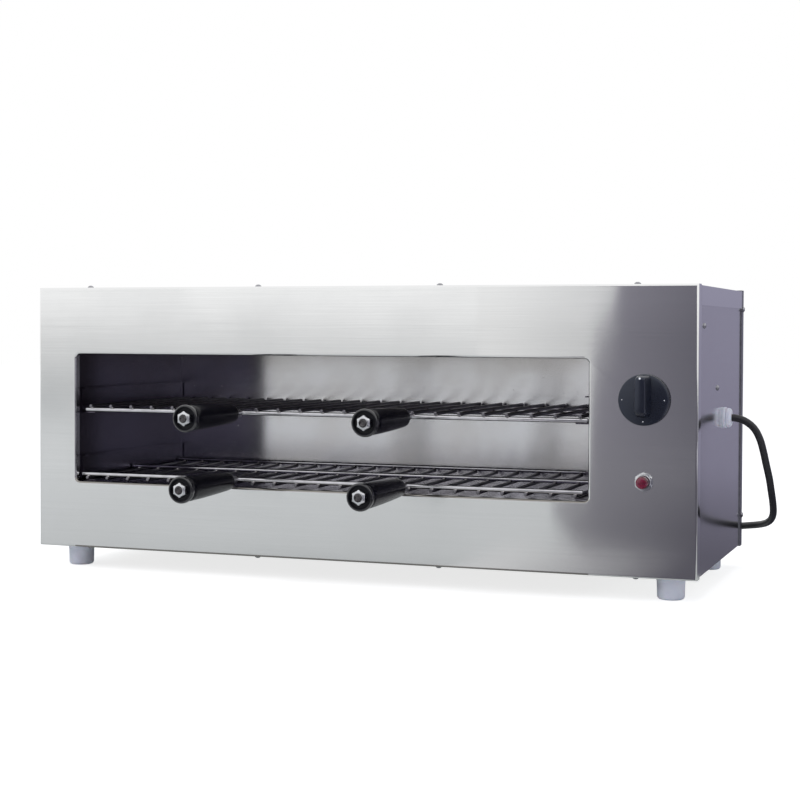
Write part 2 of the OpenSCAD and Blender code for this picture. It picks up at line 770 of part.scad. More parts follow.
module at_side(y, z) translate([side_face_x, front_y + y, base_z + z]) rotate([0, 90, 0])
    children();
module at_gland() at_side(gland_y, gland_z) children();
module at_terminal_screw() at_side(terminal_y, terminal_z) children();
module at_earth_screw() at_side(earth_y, earth_z) children();

// Terminal block on the inside of the right side panel: a base with four poles
module terminal_block() color([0.93, 0.9, 0.8]) at_terminal_screw() translate([0, 0, -sheet])
    mirror([0, 0, 1]) difference() {
        translate([-block_w / 2, 0, 0]) {
            translate([0, -block_l / 2, 0]) cube([block_w, block_l, block_base_t]);
            for (y = block_poles) translate([1, y - pole_w / 2, block_base_t - 0.1])
                cube([block_w - 2, pole_w, block_h - block_base_t + 0.1]);
        }
        translate([0, 0, -1]) cylinder(d = screw_d + 2 * hole_gap, h = block_h + 2, $fn = 24);
        for (y = block_poles, x = [-1, 1]) translate([x * clamp_offset, y, block_h - 5])
            cylinder(d = clamp_d, h = 5 + past, $fn = 24);
    }

module terminal_screw() color(dark_steel) at_terminal_screw() {
    pan_screw(sheet + block_base_t + 5);
    translate([0, 0, -sheet - block_base_t - 3.2]) hex(7, 3.2);
}

// Bonding screw with its nut on the inside
earth_screw_l = 14;
module earth_screw() color(dark_steel) at_earth_screw() {
    pan_screw(earth_screw_l);
    translate([0, 0, -sheet - 3.2]) hex(7, 3.2);
}

gland_thread_d = 16;
gland_thread_l = 14;
gland_pocket = 6;
gland_flange = 3;
dome_round = 4;

// Round-headed gland: flange, groove, dome and threaded neck, and a pocket for the cord
module cable_gland() color(nylon) at_gland() difference() {
    union() {
        rotate_extrude($fn = 64) polygon(concat([[0, 0], [gland_d / 2, 0],
            [gland_d / 2, gland_flange - 0.6], [gland_d / 2 - 0.6, gland_flange],
            [gland_d / 2 - 2.4, gland_flange], [gland_d / 2 - 2.4, gland_flange + 0.8],
            [gland_d / 2 - 0.8, gland_flange + 0.8]],
            [for (a = [0 : 15 : 90]) [gland_d / 2 - 0.8 - dome_round + dome_round * cos(a),
                gland_h - dome_round + dome_round * sin(a)]],
            [[0, gland_h]]));
        translate([0, 0, -gland_thread_l]) cylinder(d = gland_thread_d, h = gland_thread_l + 0.2);
    }
    translate([0, 0, gland_h - gland_pocket]) cylinder(d = cord_d + 0.2, h = gland_pocket + 1);
}

module gland_locknut() color(nylon) at_gland() translate([0, 0, -sheet - 5]) difference() {
    hex(21, 5);
    translate([0, 0, -1]) cylinder(d = gland_thread_d + 0.1, h = 7);
}

// ---- swept tubes ----

function unit(v) = v / norm(v);
function tangent(p, i) = unit(p[min(i + 1, len(p) - 1)] - p[max(i - 1, 0)]);
// Normals carried along a path without twist, from a first guess n
function normals(p, n = [0, 0, 1], i = 0, found = []) = i == len(p) ? found :
    let(t = tangent(p, i), m = unit(n - (n * t) * t)) normals(p, m, i + 1, concat(found, [m]));

// A closed tube of the given diameter along the points p
module tube(p, d, sides = 8, first = [0, 0, 1]) {
    m = normals(p, first);
    last = len(p) - 1;
    rings = [for (i = [0 : last]) let(t = tangent(p, i), b = cross(t, m[i]))
        for (k = [0 : sides - 1]) p[i] + d / 2 * (cos(k * 360 / sides) * m[i]
            + sin(k * 360 / sides) * b)];
    walls = [for (i = [0 : last - 1]) for (k = [0 : sides - 1]) let(a = i * sides + k,
        b = i * sides + (k + 1) % sides) [a, a + sides, b + sides, b]];
    ends = [[for (k = [0 : sides - 1]) k], [for (k = [sides - 1 : -1 : 0]) last * sides + k]];
    polyhedron(rings, concat(walls, ends), convexity = 6);
}

// A lead runs between two ends, each a place and the direction that its stub takes, and
// bows out from them along a and b
function lead(from, a, to, b) = let(p = from[0] + lead_stub * from[1],
    q = to[0] + lead_stub * to[1]) concat([from[0] + lead_gap * from[1]],
        [for (i = [0 : 10]) let(t = i / 10, u = 1 - t) u * u * u * p + 3 * u * u * t * (p + a)
            + 3 * u * t * t * (q + b) + t * t * t * q], [to[0] + lead_gap * to[1]]);

lead_d = 3;
lead_gap = 0.3;
lead_stub = 2.5;
inward = [-1, 0, 0];
outward = [1, 0, 0];
backward = [0, 1, 0];
function at_pole(i, row) = [[side_face_x - sheet - block_h, front_y + terminal_y
    + block_poles[i], base_z + terminal_z + row * clamp_offset], inward];
function at_gland_end(y, z) = [[side_face_x - gland_thread_l, front_y + gland_y + y,
    base_z + gland_z + z], inward];
at_earth = [[side_face_x - earth_screw_l, front_y + earth_y, base_z + earth_z], inward];
function at_switch(x, z) = [[control_x + x, front_y + sheet + switch_d, base_z + selector_z + z],
    backward];
function at_element(y, leg) = [[element_end_x + terminal_l, front_y + y
    + leg * element_pitch / 2, element_z], outward];
function at_tab(side) = [[control_x + side * lamp_tab_x, front_y + sheet + lamp_body_l
    + lamp_tab_l, base_z + lamp_z], backward];

// Insulated leads: the cord's cores to the block and the earth screw, the live side
// through the switch to the lamp and the elements, and their returns to the block
wiring = [
    lead(at_gland_end(-4, 3), [-20, 0, 0], at_pole(0, -1), [-18, 0, -10]),
    lead(at_gland_end(4, 3), [-20, 8, 0], at_pole(3, -1), [-18, 8, -6]),
    lead(at_gland_end(0, -4), [-34, -10, -20], at_earth, [-44, -10, -20]),
    lead(at_pole(0, 1), [-14, -6, 4], at_switch(8, 6), [0, 30, 0]),
    lead(at_pole(1, 1), [-14, 0, -60], at_tab(1), [0, 60, 0]),
    lead(at_switch(8, -6), [0, 30, -20], at_tab(-1), [0, 40, 10]),
    lead(at_switch(-8, 10), [0, 20, 20], at_element(front_element_y, -1), [18, 0, -20]),
    lead(at_switch(-12, -2), [0, 40, 10], at_element(rear_element_y, -1), [20, -10, -40]),
    lead(at_pole(2, 1), [-20, -6, 30], at_element(front_element_y, 1), [24, 10, -10]),
    lead(at_pole(3, 1), [-20, 10, 30], at_element(rear_element_y, 1), [24, 0, -10])];

module internal_wiring() color([0.75, 0.2, 0.15]) for (w = wiring) tube(w, lead_d, 6);

// The cord's route from the gland's pocket, down beside the casing, round its rear
// corner and along the surface to the coil
cord_start = half_w - sheet + gland_h - gland_pocket;
cord_route = [[cord_start, 80, 181], [391, 80, 181], [402, 81, 178], [412, 83, 170],
    [418, 87, 158], [421, 94, 144], [423, 103, 129], [425, 114, 113], [426, 127, 97],
    [426, 142, 82], [424, 158, 69], [419, 175, 60], [411, 192, 54], [400, 208, 50],
    [386, 221, 47], [370, 230, 44], [352, 235, 40], [334, 236.5, 35], [316, 236.5, 29],
    [298, 236.5, 22.5], [280, 236.5, 16], [262, 236.5, 10.5], [243, 236.5, 6.5],
    [223, 236.5, 4.6], [203, 236.5, 4.2], [180, 236.5, 4.2], [157, 236.5, 4.2],
    [135, 236.5, 4.5], [112, 236.5, 5], [90, 236.5, 5.2]];

// The coil: two layers of two turns, tied, with its lower layer on the tie's strap
coil_x = 90;
coil_y = 288;
coil_turn_r = [43.5, 51.5];
tie_t = 1.2;
coil_in_r = coil_turn_r[0] - cord_d / 2;
coil_out_r = coil_turn_r[1] + cord_d / 2;
coil_h = 2 * cord_d;
plug_route = [[90, 236.5, 13.2], [70, 238, 14], [50, 243, 15], [34, 248.5, 15], [24, 250, 15],
    [8, 250, 15]];

module mains_cord() color(black) tube(cord_route, cord_d, 10);

module cord_coil() color(black) translate([coil_x, coil_y, tie_t])
    rotate_extrude($fn = 96) translate([coil_in_r, 0]) square([coil_out_r - coil_in_r, coil_h]);

module plug_lead() color(black) tube(plug_route, cord_d, 10);

// A strap round the coil on its far side
tie_w = 8;
tie_slack = 0.4;
module cord_tie() color("gray")
    translate([coil_x - tie_w / 2, coil_y + coil_in_r - tie_t - tie_slack, 0]) difference() {
        cube([tie_w, coil_out_r - coil_in_r + 2 * (tie_t + tie_slack), coil_h + 2 * tie_t]);
        translate([-past, tie_t, tie_t])
            cube([tie_w + 2 * past, coil_out_r - coil_in_r + 2 * tie_slack, coil_h]);
    }

plug_x = 12;
plug_y = 250;
plug_l = 64;
plug_t = 30;
plug_w = 52;
plug_body_l = 46;
plug_heel_r = 8;
plug_nose_r = 12;
plug_sleeve_l = 27;
plug_bore_l = 12;
pin_sink = 8;

// Three-pin plug lying on its back: a rounded body and a tapered lead sleeve
module mains_plug() color(black) translate([plug_x, plug_y, 0]) difference() {
    union() {
        translate([-plug_l, 0, 0]) linear_extrude(plug_t)
            polygon(concat(plug_corner(plug_heel_r, plug_heel_r, 1, 90),
                plug_corner(plug_heel_r, plug_heel_r, -1, 180),
                plug_corner(plug_body_l - plug_nose_r, plug_nose_r, -1, 270),
                plug_corner(plug_body_l - plug_nose_r, plug_nose_r, 1, 0)));
        translate([plug_body_l - plug_l - past, 0, plug_t / 2]) rotate([0, 90, 0])
            cylinder(d1 = 19, d2 = 12, h = plug_sleeve_l);
    }
    translate([plug_body_l - plug_l - past + plug_sleeve_l - plug_bore_l, 0, plug_t / 2])
        rotate([0, 90, 0]) cylinder(d = cord_d + 0.2, h = plug_bore_l + past);
    translate([-plug_l, 0, plug_t]) plug_pin_places() translate([0, 0, -pin_sink])
        cylinder(d = pin_d + 2 * running_gap, h = pin_sink + past);
}

// A quarter turn of the plug's outline, round a point at x on one of its long sides
function plug_corner(x, r, side, from) = [for (a = [from : 15 : from + 90])
    [x + r * cos(a), side * (plug_w / 2 - r) + r * sin(a)]];

// Line, neutral and earth pins of a large round-pin plug
pin_d = 7.05;
earth_pin_d = 8.7;
pin_from_end = 9;
pin_pitch = 25.4;
earth_pin_away = 28.6;
pin_l = 18.6;
earth_pin_l = 28.6;
module plug_pin_places() {
    for (side = [-1, 1]) translate([pin_from_end, side * pin_pitch / 2, 0]) children();
    translate([pin_from_end + earth_pin_away, 0, 0]) scale(earth_pin_d / pin_d) children();
}

module plug_pins() color(brass) translate([plug_x - plug_l, plug_y, plug_t]) {
    for (side = [-1, 1]) translate([pin_from_end, side * pin_pitch / 2, -pin_sink])
        plug_pin(pin_d, pin_sink + pin_l);
    translate([pin_from_end + earth_pin_away, 0, -pin_sink])
        plug_pin(earth_pin_d, pin_sink + earth_pin_l);
}

module plug_pin(d, l) rotate_extrude($fn = 32) polygon([[0, 0], [d / 2, 0], [d / 2, l - 1.5],
    [d / 2 - 1.5, l], [0, l]]);

// ---- feet ----

foot_screw_d = 5;
foot_screw_l = 8;
foot_nut_af = 8;
foot_nut_t = 4;
foot_nut_clear_d = 14;
foot_bore_d = 12;
foot_ledge = 9;

module foot() rotate_extrude($fn = 64) polygon([[foot_screw_d / 2 + hole_gap, foot_h + sheet],
    [foot_d / 2, foot_h + sheet], [foot_d / 2, foot_h - 6], [foot_d / 2 - 1.5, 2],
    [foot_d / 2 - 3.5, 0], [foot_bore_d / 2, 0], [foot_bore_d / 2, foot_h + sheet - foot_ledge],
    [foot_screw_d / 2 + hole_gap, foot_h + sheet - foot_ledge]]);

module foot_at(side, end) translate([side * (half_w - foot_inset_x),
    end < 0 ? front_y + foot_inset_y : back_y - foot_inset_y, 0]) foot();

module front_left_foot() color(nylon) foot_at(-1, -1);
module front_right_foot() color(nylon) foot_at(1, -1);
module rear_left_foot() color(nylon) foot_at(-1, 1);
module rear_right_foot() color(nylon) foot_at(1, 1);

module foot_screws() color("silver") at_feet() translate([0, 0, foot_h + sheet - foot_ledge]) {
    translate([0, 0, -3.5]) cylinder(d1 = 8, d2 = 9.5, h = 3.5);
    translate([0, 0, -0.1]) cylinder(d = foot_screw_d, h = foot_ledge + sheet + foot_screw_l - 1,
        $fn = 32);
}

module foot_nuts() color("silver") at_feet() translate([0, 0, foot_h + 2 * sheet]) difference() {
    hex(foot_nut_af, foot_nut_t);
    translate([0, 0, -past]) cylinder(d = foot_screw_d + 0.1, h = foot_nut_t + 2 * past, $fn = 32);
}

front_panel();
top_cover();
bottom_panel();
left_side_panel();
right_side_panel();
back_panel();
front_panel_screws();
back_panel_screws();
left_inner_wall();
right_inner_wall();
rear_inner_wall();
chamber_ceiling();
chamber_floor();
ceiling_insulation();
front_element();
rear_element();
element_hangers();
element_bushes();
element_terminals();
upper_left_runner();
upper_right_runner();
lower_left_runner();
lower_right_runner();
upper_rack();
upper_handle_studs();
upper_left_handle();
upper_right_handle();
upper_handle_nuts();
lower_rack();
lower_handle_studs();
lower_left_handle();
lower_right_handle();
lower_handle_nuts();
selector_knob();
selector_shaft();
selector_switch();
selector_screws();
indicator_bezel();
indicator_lens();
indicator_body();
terminal_block();
terminal_screw();
earth_screw();
internal_wiring();
cable_gland();
gland_locknut();
mains_cord();
cord_coil();
plug_lead();
cord_tie();
mains_plug();
plug_pins();
front_left_foot();
front_right_foot();
rear_left_foot();
rear_right_foot();
foot_screws();
foot_nuts();
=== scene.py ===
"""Countertop cheese melter: folded stainless casing, two welded racks with turned pull
handles, selector, indicator lamp and mains lead.

Lengths of the pieces are in millimetres and become metres when a mesh is built. X runs
along the front, Y from front to back, Z up, from the middle of the footprint."""
import bmesh
import bpy
import json
import math
import numpy as np
from mathutils import Matrix, Vector


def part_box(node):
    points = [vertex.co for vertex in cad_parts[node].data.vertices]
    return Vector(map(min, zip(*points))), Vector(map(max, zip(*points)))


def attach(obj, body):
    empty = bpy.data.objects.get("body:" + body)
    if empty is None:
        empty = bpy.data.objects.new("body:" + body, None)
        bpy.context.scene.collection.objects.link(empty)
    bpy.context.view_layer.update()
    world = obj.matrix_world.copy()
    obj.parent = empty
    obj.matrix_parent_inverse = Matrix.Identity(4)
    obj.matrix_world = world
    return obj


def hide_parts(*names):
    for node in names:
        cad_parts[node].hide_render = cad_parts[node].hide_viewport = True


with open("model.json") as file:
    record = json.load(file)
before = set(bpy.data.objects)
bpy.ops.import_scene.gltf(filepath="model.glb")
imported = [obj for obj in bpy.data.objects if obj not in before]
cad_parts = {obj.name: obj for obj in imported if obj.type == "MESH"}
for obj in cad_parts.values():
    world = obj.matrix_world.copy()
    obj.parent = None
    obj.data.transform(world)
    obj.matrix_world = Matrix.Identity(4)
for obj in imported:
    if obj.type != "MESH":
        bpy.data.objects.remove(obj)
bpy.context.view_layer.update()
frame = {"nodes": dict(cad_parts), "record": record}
MM = 0.001
X, Y, Z = np.eye(3)


# -------- camera

def new_object(name, data):
    """A new object in the scene."""
    made = bpy.data.objects.new(name, data)
    bpy.context.scene.collection.objects.link(made)
    return made


def place_camera(place, yaw, pitch, roll, focal, shift):
    """Looks from place: turned left by yaw, down by pitch, and rolled, in degrees."""
    yaw, pitch, roll = (math.radians(angle) for angle in (yaw, pitch, roll))
    ahead = Vector((-math.sin(yaw) * math.cos(pitch), math.cos(yaw) * math.cos(pitch),
                    -math.sin(pitch)))
    level = Vector((math.cos(yaw), math.sin(yaw), 0))
    above = level.cross(ahead)
    right = level * math.cos(roll) + above * math.sin(roll)
    up = above * math.cos(roll) - level * math.sin(roll)
    lens = bpy.data.cameras.new("camera")
    lens.sensor_fit, lens.sensor_width, lens.lens = "HORIZONTAL", 36, focal
    lens.shift_y = shift
    lens.clip_start, lens.clip_end = 0.05, 60
    camera = new_object("camera", lens)
    turn = Matrix((right, up, -ahead)).transposed().to_4x4()
    camera.matrix_world = Matrix.Translation(place) @ turn
    bpy.context.scene.camera = camera


place_camera((0.66096, -1.71355, 0.27511), yaw=20.186, pitch=1.392, roll=0.2, focal=73.18,
             shift=-0.0375)


# -------- surfaces

def unit(v):
    """Rows of v brought to length 1."""
    return v / np.linalg.norm(v, axis=-1, keepdims=True)


def skin(points, closed=False):
    """Quads over a grid of points [u, v]. Rows always join round v; closed joins the last
    row of u to the first too."""
    rows, columns = points.shape[:2]
    number = np.arange(rows * columns).reshape(rows, columns)
    number = np.hstack([number, number[:, :1]])
    if closed:
        number = np.vstack([number, number[:1]])
    quads = np.stack([number[:-1, :-1], number[1:, :-1], number[1:, 1:], number[:-1, 1:]], -1)
    return points.reshape(-1, 3), quads.reshape(-1, 4)


def capped(rings, middles):
    """Rings [u, v] closed at both ends, by poles at the first and last of their middles."""
    first, last = (np.repeat(middles[None, i:i + 1], rings.shape[1], axis=1)
                   for i in (0, len(middles) - 1))
    return skin(np.concatenate([first, rings, last]))


def facing_out(points, quads):
    """Turns the quads over if the volume they hold, the sum of a . (b x c) over their
    triangles, is negative."""
    a, b, c, d = (points[quads[:, i]] - points.mean(0) for i in range(4))
    volume = np.sum(a * np.cross(b, c)) + np.sum(a * np.cross(c, d))
    return quads if volume > 0 else quads[:, ::-1]


def smooth(mesh, angle):
    """Merges points that coincide, which closes seams and poles, and shades smooth up to
    the angle."""
    work = bmesh.new()
    work.from_mesh(mesh)
    bmesh.ops.remove_doubles(work, verts=work.verts, dist=0.002 * MM)
    bmesh.ops.dissolve_degenerate(work, edges=work.edges, dist=0.001 * MM)
    work.to_mesh(mesh)
    work.free()
    mesh.shade_smooth()
    mesh.set_sharp_from_angle(angle=math.radians(angle))


def dress(piece, body, material, stands_for=()):
    """Gives a piece its body, material slot and material."""
    piece.data.materials.clear()
    piece.data.materials.append(material)
    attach(piece, body)
    if stands_for:
        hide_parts(*stands_for)
    return piece


def solid(name, shells, body, material, stands_for=(), sharp=38):
    """Joins closed shells, each (points in millimetres, quads), into one piece."""
    start, points, quads = 0, [], []
    for shell_points, shell_quads in shells:
        points.append(shell_points * MM)
        quads.append(facing_out(shell_points, shell_quads) + start)
        start += len(shell_points)
    mesh = bpy.data.meshes.new(name)
    mesh.from_pydata(np.concatenate(points).tolist(), [], np.concatenate(quads).tolist())
    smooth(mesh, sharp)
    piece = new_object(name, mesh)
    return dress(piece, body, material, stands_for)


def vertex_places(piece):
    """A piece's vertices as rows, in millimetres."""
    flat = np.empty(len(piece.data.vertices) * 3, np.float32)
    piece.data.vertices.foreach_get("co", flat)
    return flat.reshape(-1, 3) / MM


def mark(piece, label, values):
    """Gives a mesh a value at each vertex, which a material reads."""
    layer = piece.data.attributes.new(label, "FLOAT", "POINT")
    layer.data.foreach_set("value", values.astype(np.float32))


def box_mm(node):
    """A node's lowest and highest corners, in millimetres."""
    return [np.array(corner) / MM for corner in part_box(node)]


def outline(*corners, steps=5):
    """An outline through corners (x, y, r). Each corner is cut back by r along both its
    sides and bridged by the curve (1-t)^2 A + 2t(1-t) C + t^2 B."""
    corner = np.array([(c + (0,))[:3] for c in corners], float)
    place, cut = corner[:, :2], corner[:, 2:]
    before = place + cut * unit(np.roll(place, 1, 0) - place)
    after = place + cut * unit(np.roll(place, -1, 0) - place)
    t = np.linspace(0, 1, steps)[:, None]
    return np.concatenate([
        (1 - t) ** 2 * a + 2 * t * (1 - t) * c + t ** 2 * b if r > 0 else c[None]
        for a, c, b, r in zip(before, place, after, cut[:, 0])])


def circle(sides):
    """Angles once round."""
    return np.linspace(0, 2 * np.pi, sides, endpoint=False)


def across(axis):
    """Two directions square to an axis and to each other."""
    first = unit(np.cross(axis, Z if abs(axis @ Z) < 0.9 else X))
    return first, np.cross(axis, first)


def spokes(axis, t):
    """Directions square to an axis at angles t: cos t * a + sin t * b."""
    a, b = across(axis)
    return np.cos(t)[:, None] * a + np.sin(t)[:, None] * b


def turned(profile, foot, axis, sides=64, closed=False, shape=None):
    """A profile of (radius, height) carried round an axis from foot:
    foot + height * axis + radius * spoke. shape(radius, height, t) may change the radius."""
    t = circle(sides)
    radius, height = profile[:, :1], profile[:, 1:]
    radius = radius + 0 * t if shape is None else shape(radius, height, t)
    return skin(np.asarray(foot) + height[..., None] * axis
                + radius[..., None] * spokes(axis, t), closed)


def hexagon(flats, t):
    """Radius of a hexagon at angle t: half its flats over the cosine of the angle from the
    middle of the nearest flat."""
    return flats / 2 / np.cos((t + np.pi / 6) % (np.pi / 3) - np.pi / 6)


def swept(path, radius, sides):
    """A round tube along a path, its rings square to it: path + r (cos t * n + sin t * b),
    closed at both ends."""
    along = unit(np.gradient(path, axis=0))
    n = unit(np.cross(along, Z))
    b = np.cross(along, n)
    t = circle(sides)[:, None]
    rings = path[:, None] + radius * (np.cos(t) * n[:, None] + np.sin(t) * b[:, None])
    return capped(rings, path)


def through(points, step):
    """A smooth line through points: a Catmull-Rom cubic between each two, with a point
    about every step."""
    p = np.vstack([2 * points[0] - points[1], points, 2 * points[-1] - points[-2]])
    pieces = []
    for p0, p1, p2, p3 in zip(p[:-3], p[1:-2], p[2:-1], p[3:]):
        t = np.linspace(0, 1, max(2, round(np.linalg.norm(p2 - p1) / step) + 1))[:-1, None]
        pieces.append(0.5 * (2 * p1 + (p2 - p0) * t + (2 * p0 - 5 * p1 + 4 * p2 - p3) * t ** 2
                             + (3 * p1 - p0 - 3 * p2 + p3) * t ** 3))
    return np.vstack(pieces + [points[-1:]])


def ramp(x, start, end):
    """0 before start, 1 after end and 3t^2 - 2t^3 between."""
    t = np.clip((x - start) / (end - start), 0, 1)
    return t * t * (3 - 2 * t)


def slab(centre, half_x, half_y, corner, profile, sides=64):
    """A block with rounded corners standing on Z: the outline sign * (half - r) + r cos t,
    drawn in by each inset of a profile of (inset, height)."""
    t = circle(sides) + np.pi / sides
    inset, height = profile[:, :1], profile[:, 1:]
    r = np.maximum(corner - inset, 0.05)
    x = np.sign(np.cos(t)) * (half_x - inset - r) + r * np.cos(t)
    y = np.sign(np.sin(t)) * (half_y - inset - r) + r * np.sin(t)
    rings = np.stack([centre[0] + x, centre[1] + y, centre[2] + height + 0 * t], -1)
    return capped(rings, rings.mean(1))


def merged_copy(node, material, angle=32):
    """A CAD node's shape with its loose triangles merged and its bends shaded smooth."""
    source = frame["nodes"][node]
    mesh = source.data.copy()
    smooth(mesh, angle)
    piece = new_object(node + "_finished", mesh)
    dress(piece, BODY[node], material, (node,))
    weights = piece.modifiers.new("flat faces keep their normals", "WEIGHTED_NORMAL")
    weights.keep_sharp = True
    return piece


SLOT = {part["node"]: part["material_slot"] for part in frame["record"]["subparts"]}
BODY = {node: body for body, nodes in frame["record"]["behaviour"]["bodies"].items()
        for node in nodes}


# -------- shader groups

WHITE = (1, 1, 1, 1)


def opaque(colour, share=1.0):
    """A colour for a socket: each channel times share, at most 1."""
    return tuple(min(1.0, c * share) for c in colour) + (1,)


def feed(tree, node, inputs):
    """Gives a shader node's sockets their values, or links them to other nodes' sockets."""
    for key, value in inputs.items():
        if isinstance(value, bpy.types.NodeSocket):
            tree.links.new(value, node.inputs[key])
        else:
            node.inputs[key].default_value = value


def add(tree, kind, inputs=None, **settings):
    """Adds a shader node with its settings, and feeds it."""
    node = tree.nodes.new("ShaderNode" + kind)
    for key, value in settings.items():
        setattr(node, key, value)
    feed(tree, node, inputs or {})
    return node


def calc(tree, operation, *values, clamp=False):
    """A step of arithmetic on values or sockets."""
    return add(tree, "Math", dict(enumerate(values)), operation=operation,
               use_clamp=clamp).outputs[0]


def noise(tree, where, scale, detail=2.0, roughness=0.5):
    """Noise on a vector: its outputs."""
    return add(tree, "TexNoise", {"Vector": where, "Scale": scale, "Detail": detail,
                                  "Roughness": roughness}).outputs


def group(name, inputs, outputs):
    """A new shader group: inputs are (name, kind, value), outputs (name, kind)."""
    tree = bpy.data.node_groups.new(name, "ShaderNodeTree")
    for label, kind, value in inputs:
        socket = tree.interface.new_socket(label, in_out="INPUT", socket_type="NodeSocket" + kind)
        if value is not None:
            socket.default_value = value
    for label, kind in outputs:
        tree.interface.new_socket(label, in_out="OUTPUT", socket_type="NodeSocket" + kind)
    return tree, tree.nodes.new("NodeGroupInput").outputs, tree.nodes.new("NodeGroupOutput")


def clouds_group():
    """Soft blotches: noise, spread between Low and High."""
    tree, given, out = group("Clouds", [
        ("Vector", "Vector", None), ("Scale", "Float", 10.0), ("Detail", "Float", 3.0),
        ("Low", "Float", 0.35), ("High", "Float", 0.65)], [("Mask", "Float")])
    blotches = noise(tree, given["Vector"], given["Scale"], given["Detail"], 0.55)["Fac"]
    spread = add(tree, "MapRange", {"Value": blotches, "From Min": given["Low"],
                                    "From Max": given["High"]}, interpolation_type="SMOOTHSTEP")
    tree.links.new(spread.outputs["Result"], out.inputs["Mask"])
    return tree


def brushed_group():
    """Brushing lines on a vector that is already stretched along them: three sizes of
    noise, weighted, with the coarse one fading the rest in and out."""
    tree, given, out = group("Brushed lines", [
        ("Vector", "Vector", None), ("Contrast", "Float", 1.0)], [("Lines", "Float")])
    fine, middle, coarse = (noise(tree, given["Vector"], scale, detail)["Fac"]
                            for scale, detail in ((2.6, 1.0), (0.7, 2.0), (0.09, 2.0)))
    level = calc(tree, "SUBTRACT", calc(tree, "ADD", fine, middle), 1.0)
    faded = calc(tree, "MULTIPLY", level, coarse)
    lines = calc(tree, "MULTIPLY_ADD", faded, given["Contrast"], 0.5, clamp=True)
    tree.links.new(lines, out.inputs["Lines"])
    return tree


def scratches_group():
    """Stray hairlines: the edges of a distorted cell pattern, kept only under a cloud."""
    tree, given, out = group("Scratches", [
        ("Vector", "Vector", None), ("Scale", "Float", 14.0), ("Width", "Float", 0.012),
        ("Cover", "Float", 0.5)], [("Mask", "Float")])
    bend = noise(tree, given["Vector"], given["Scale"])["Color"]
    shifted = add(tree, "VectorMath", {0: bend, 1: (0.05, 0.05, 0.05)}, operation="MULTIPLY")
    place = add(tree, "VectorMath", {0: given["Vector"], 1: shifted.outputs[0]},
                operation="ADD")
    cells = add(tree, "TexVoronoi", {"Vector": place.outputs[0], "Scale": given["Scale"]},
                feature="DISTANCE_TO_EDGE")
    line = add(tree, "MapRange", {"Value": cells.outputs["Distance"], "From Min": 0.0,
                                  "From Max": given["Width"], "To Min": 1.0, "To Max": 0.0})
    cover = noise(tree, given["Vector"], 9.0)["Fac"]
    keep = calc(tree, "GREATER_THAN", cover, given["Cover"])
    mask = calc(tree, "MULTIPLY", line.outputs["Result"], keep)
    tree.links.new(mask, out.inputs["Mask"])
    return tree


def heat_group():
    """The colours that steel takes with heat, from bare metal through straw and brown to
    blue, as a tint to multiply."""
    tree, given, out = group("Heat tint", [("Heat", "Float", 0.0)], [("Tint", "Color")])
    ramp_node = add(tree, "ValToRGB", {"Fac": given["Heat"]})
    stops = ramp_node.color_ramp.elements
    stops[0].position, stops[0].color = 0.0, (1, 1, 1, 1)
    stops[1].position, stops[1].color = 1.0, (0.5, 0.52, 0.66, 1)
    for place, colour in ((0.35, (0.96, 0.88, 0.72, 1)), (0.6, (0.78, 0.62, 0.48, 1)),
                          (0.8, (0.6, 0.5, 0.56, 1))):
        stops.new(place).color = colour
    tree.links.new(ramp_node.outputs["Color"], out.inputs["Tint"])
    return tree


def moulded_group():
    """The skin of a moulding: a fine orange peel as height, and settled dust as a mask."""
    tree, given, out = group("Moulded skin", [
        ("Vector", "Vector", None), ("Scale", "Float", 900.0), ("Dust", "Float", 0.5)],
        [("Height", "Float"), ("Dust", "Float")])
    peel = noise(tree, given["Vector"], given["Scale"])["Fac"]
    cloud = noise(tree, given["Vector"], 60.0, 6.0, 0.7)["Fac"]
    dust = add(tree, "MapRange", {"Value": cloud, "From Min": 0.5, "From Max": 0.8,
                                  "To Max": given["Dust"]})
    tree.links.new(peel, out.inputs["Height"])
    tree.links.new(dust.outputs["Result"], out.inputs["Dust"])
    return tree


CLOUDS, BRUSHED, SCRATCHES = clouds_group(), brushed_group(), scratches_group()
HEAT, MOULDED = heat_group(), moulded_group()


# -------- materials

# Heights and depths between which a finish changes, metres: painted shade below the front's top
# band, heat tint in the chamber, painted shade in the chamber towards the window, and the studs'
# change of tone
TOP_BAND_SHADE_FADES, CHAMBER_HEATS = (0.319, 0.258), (0.22, 0.3)
CHAMBER_SHADE_DEPTHS, STUD_BRIGHTENS = (-0.015, -0.075), (-0.2, -0.12)
# The window's lower lip, painted darker as shade: between its two ends, behind the front face and
# below a level
SHADED_WINDOW_LIP = (("X", "GREATER_THAN", -0.3335), ("X", "LESS_THAN", 0.27),
              ("Y", "GREATER_THAN", -0.08998), ("Z", "LESS_THAN", 0.1045))


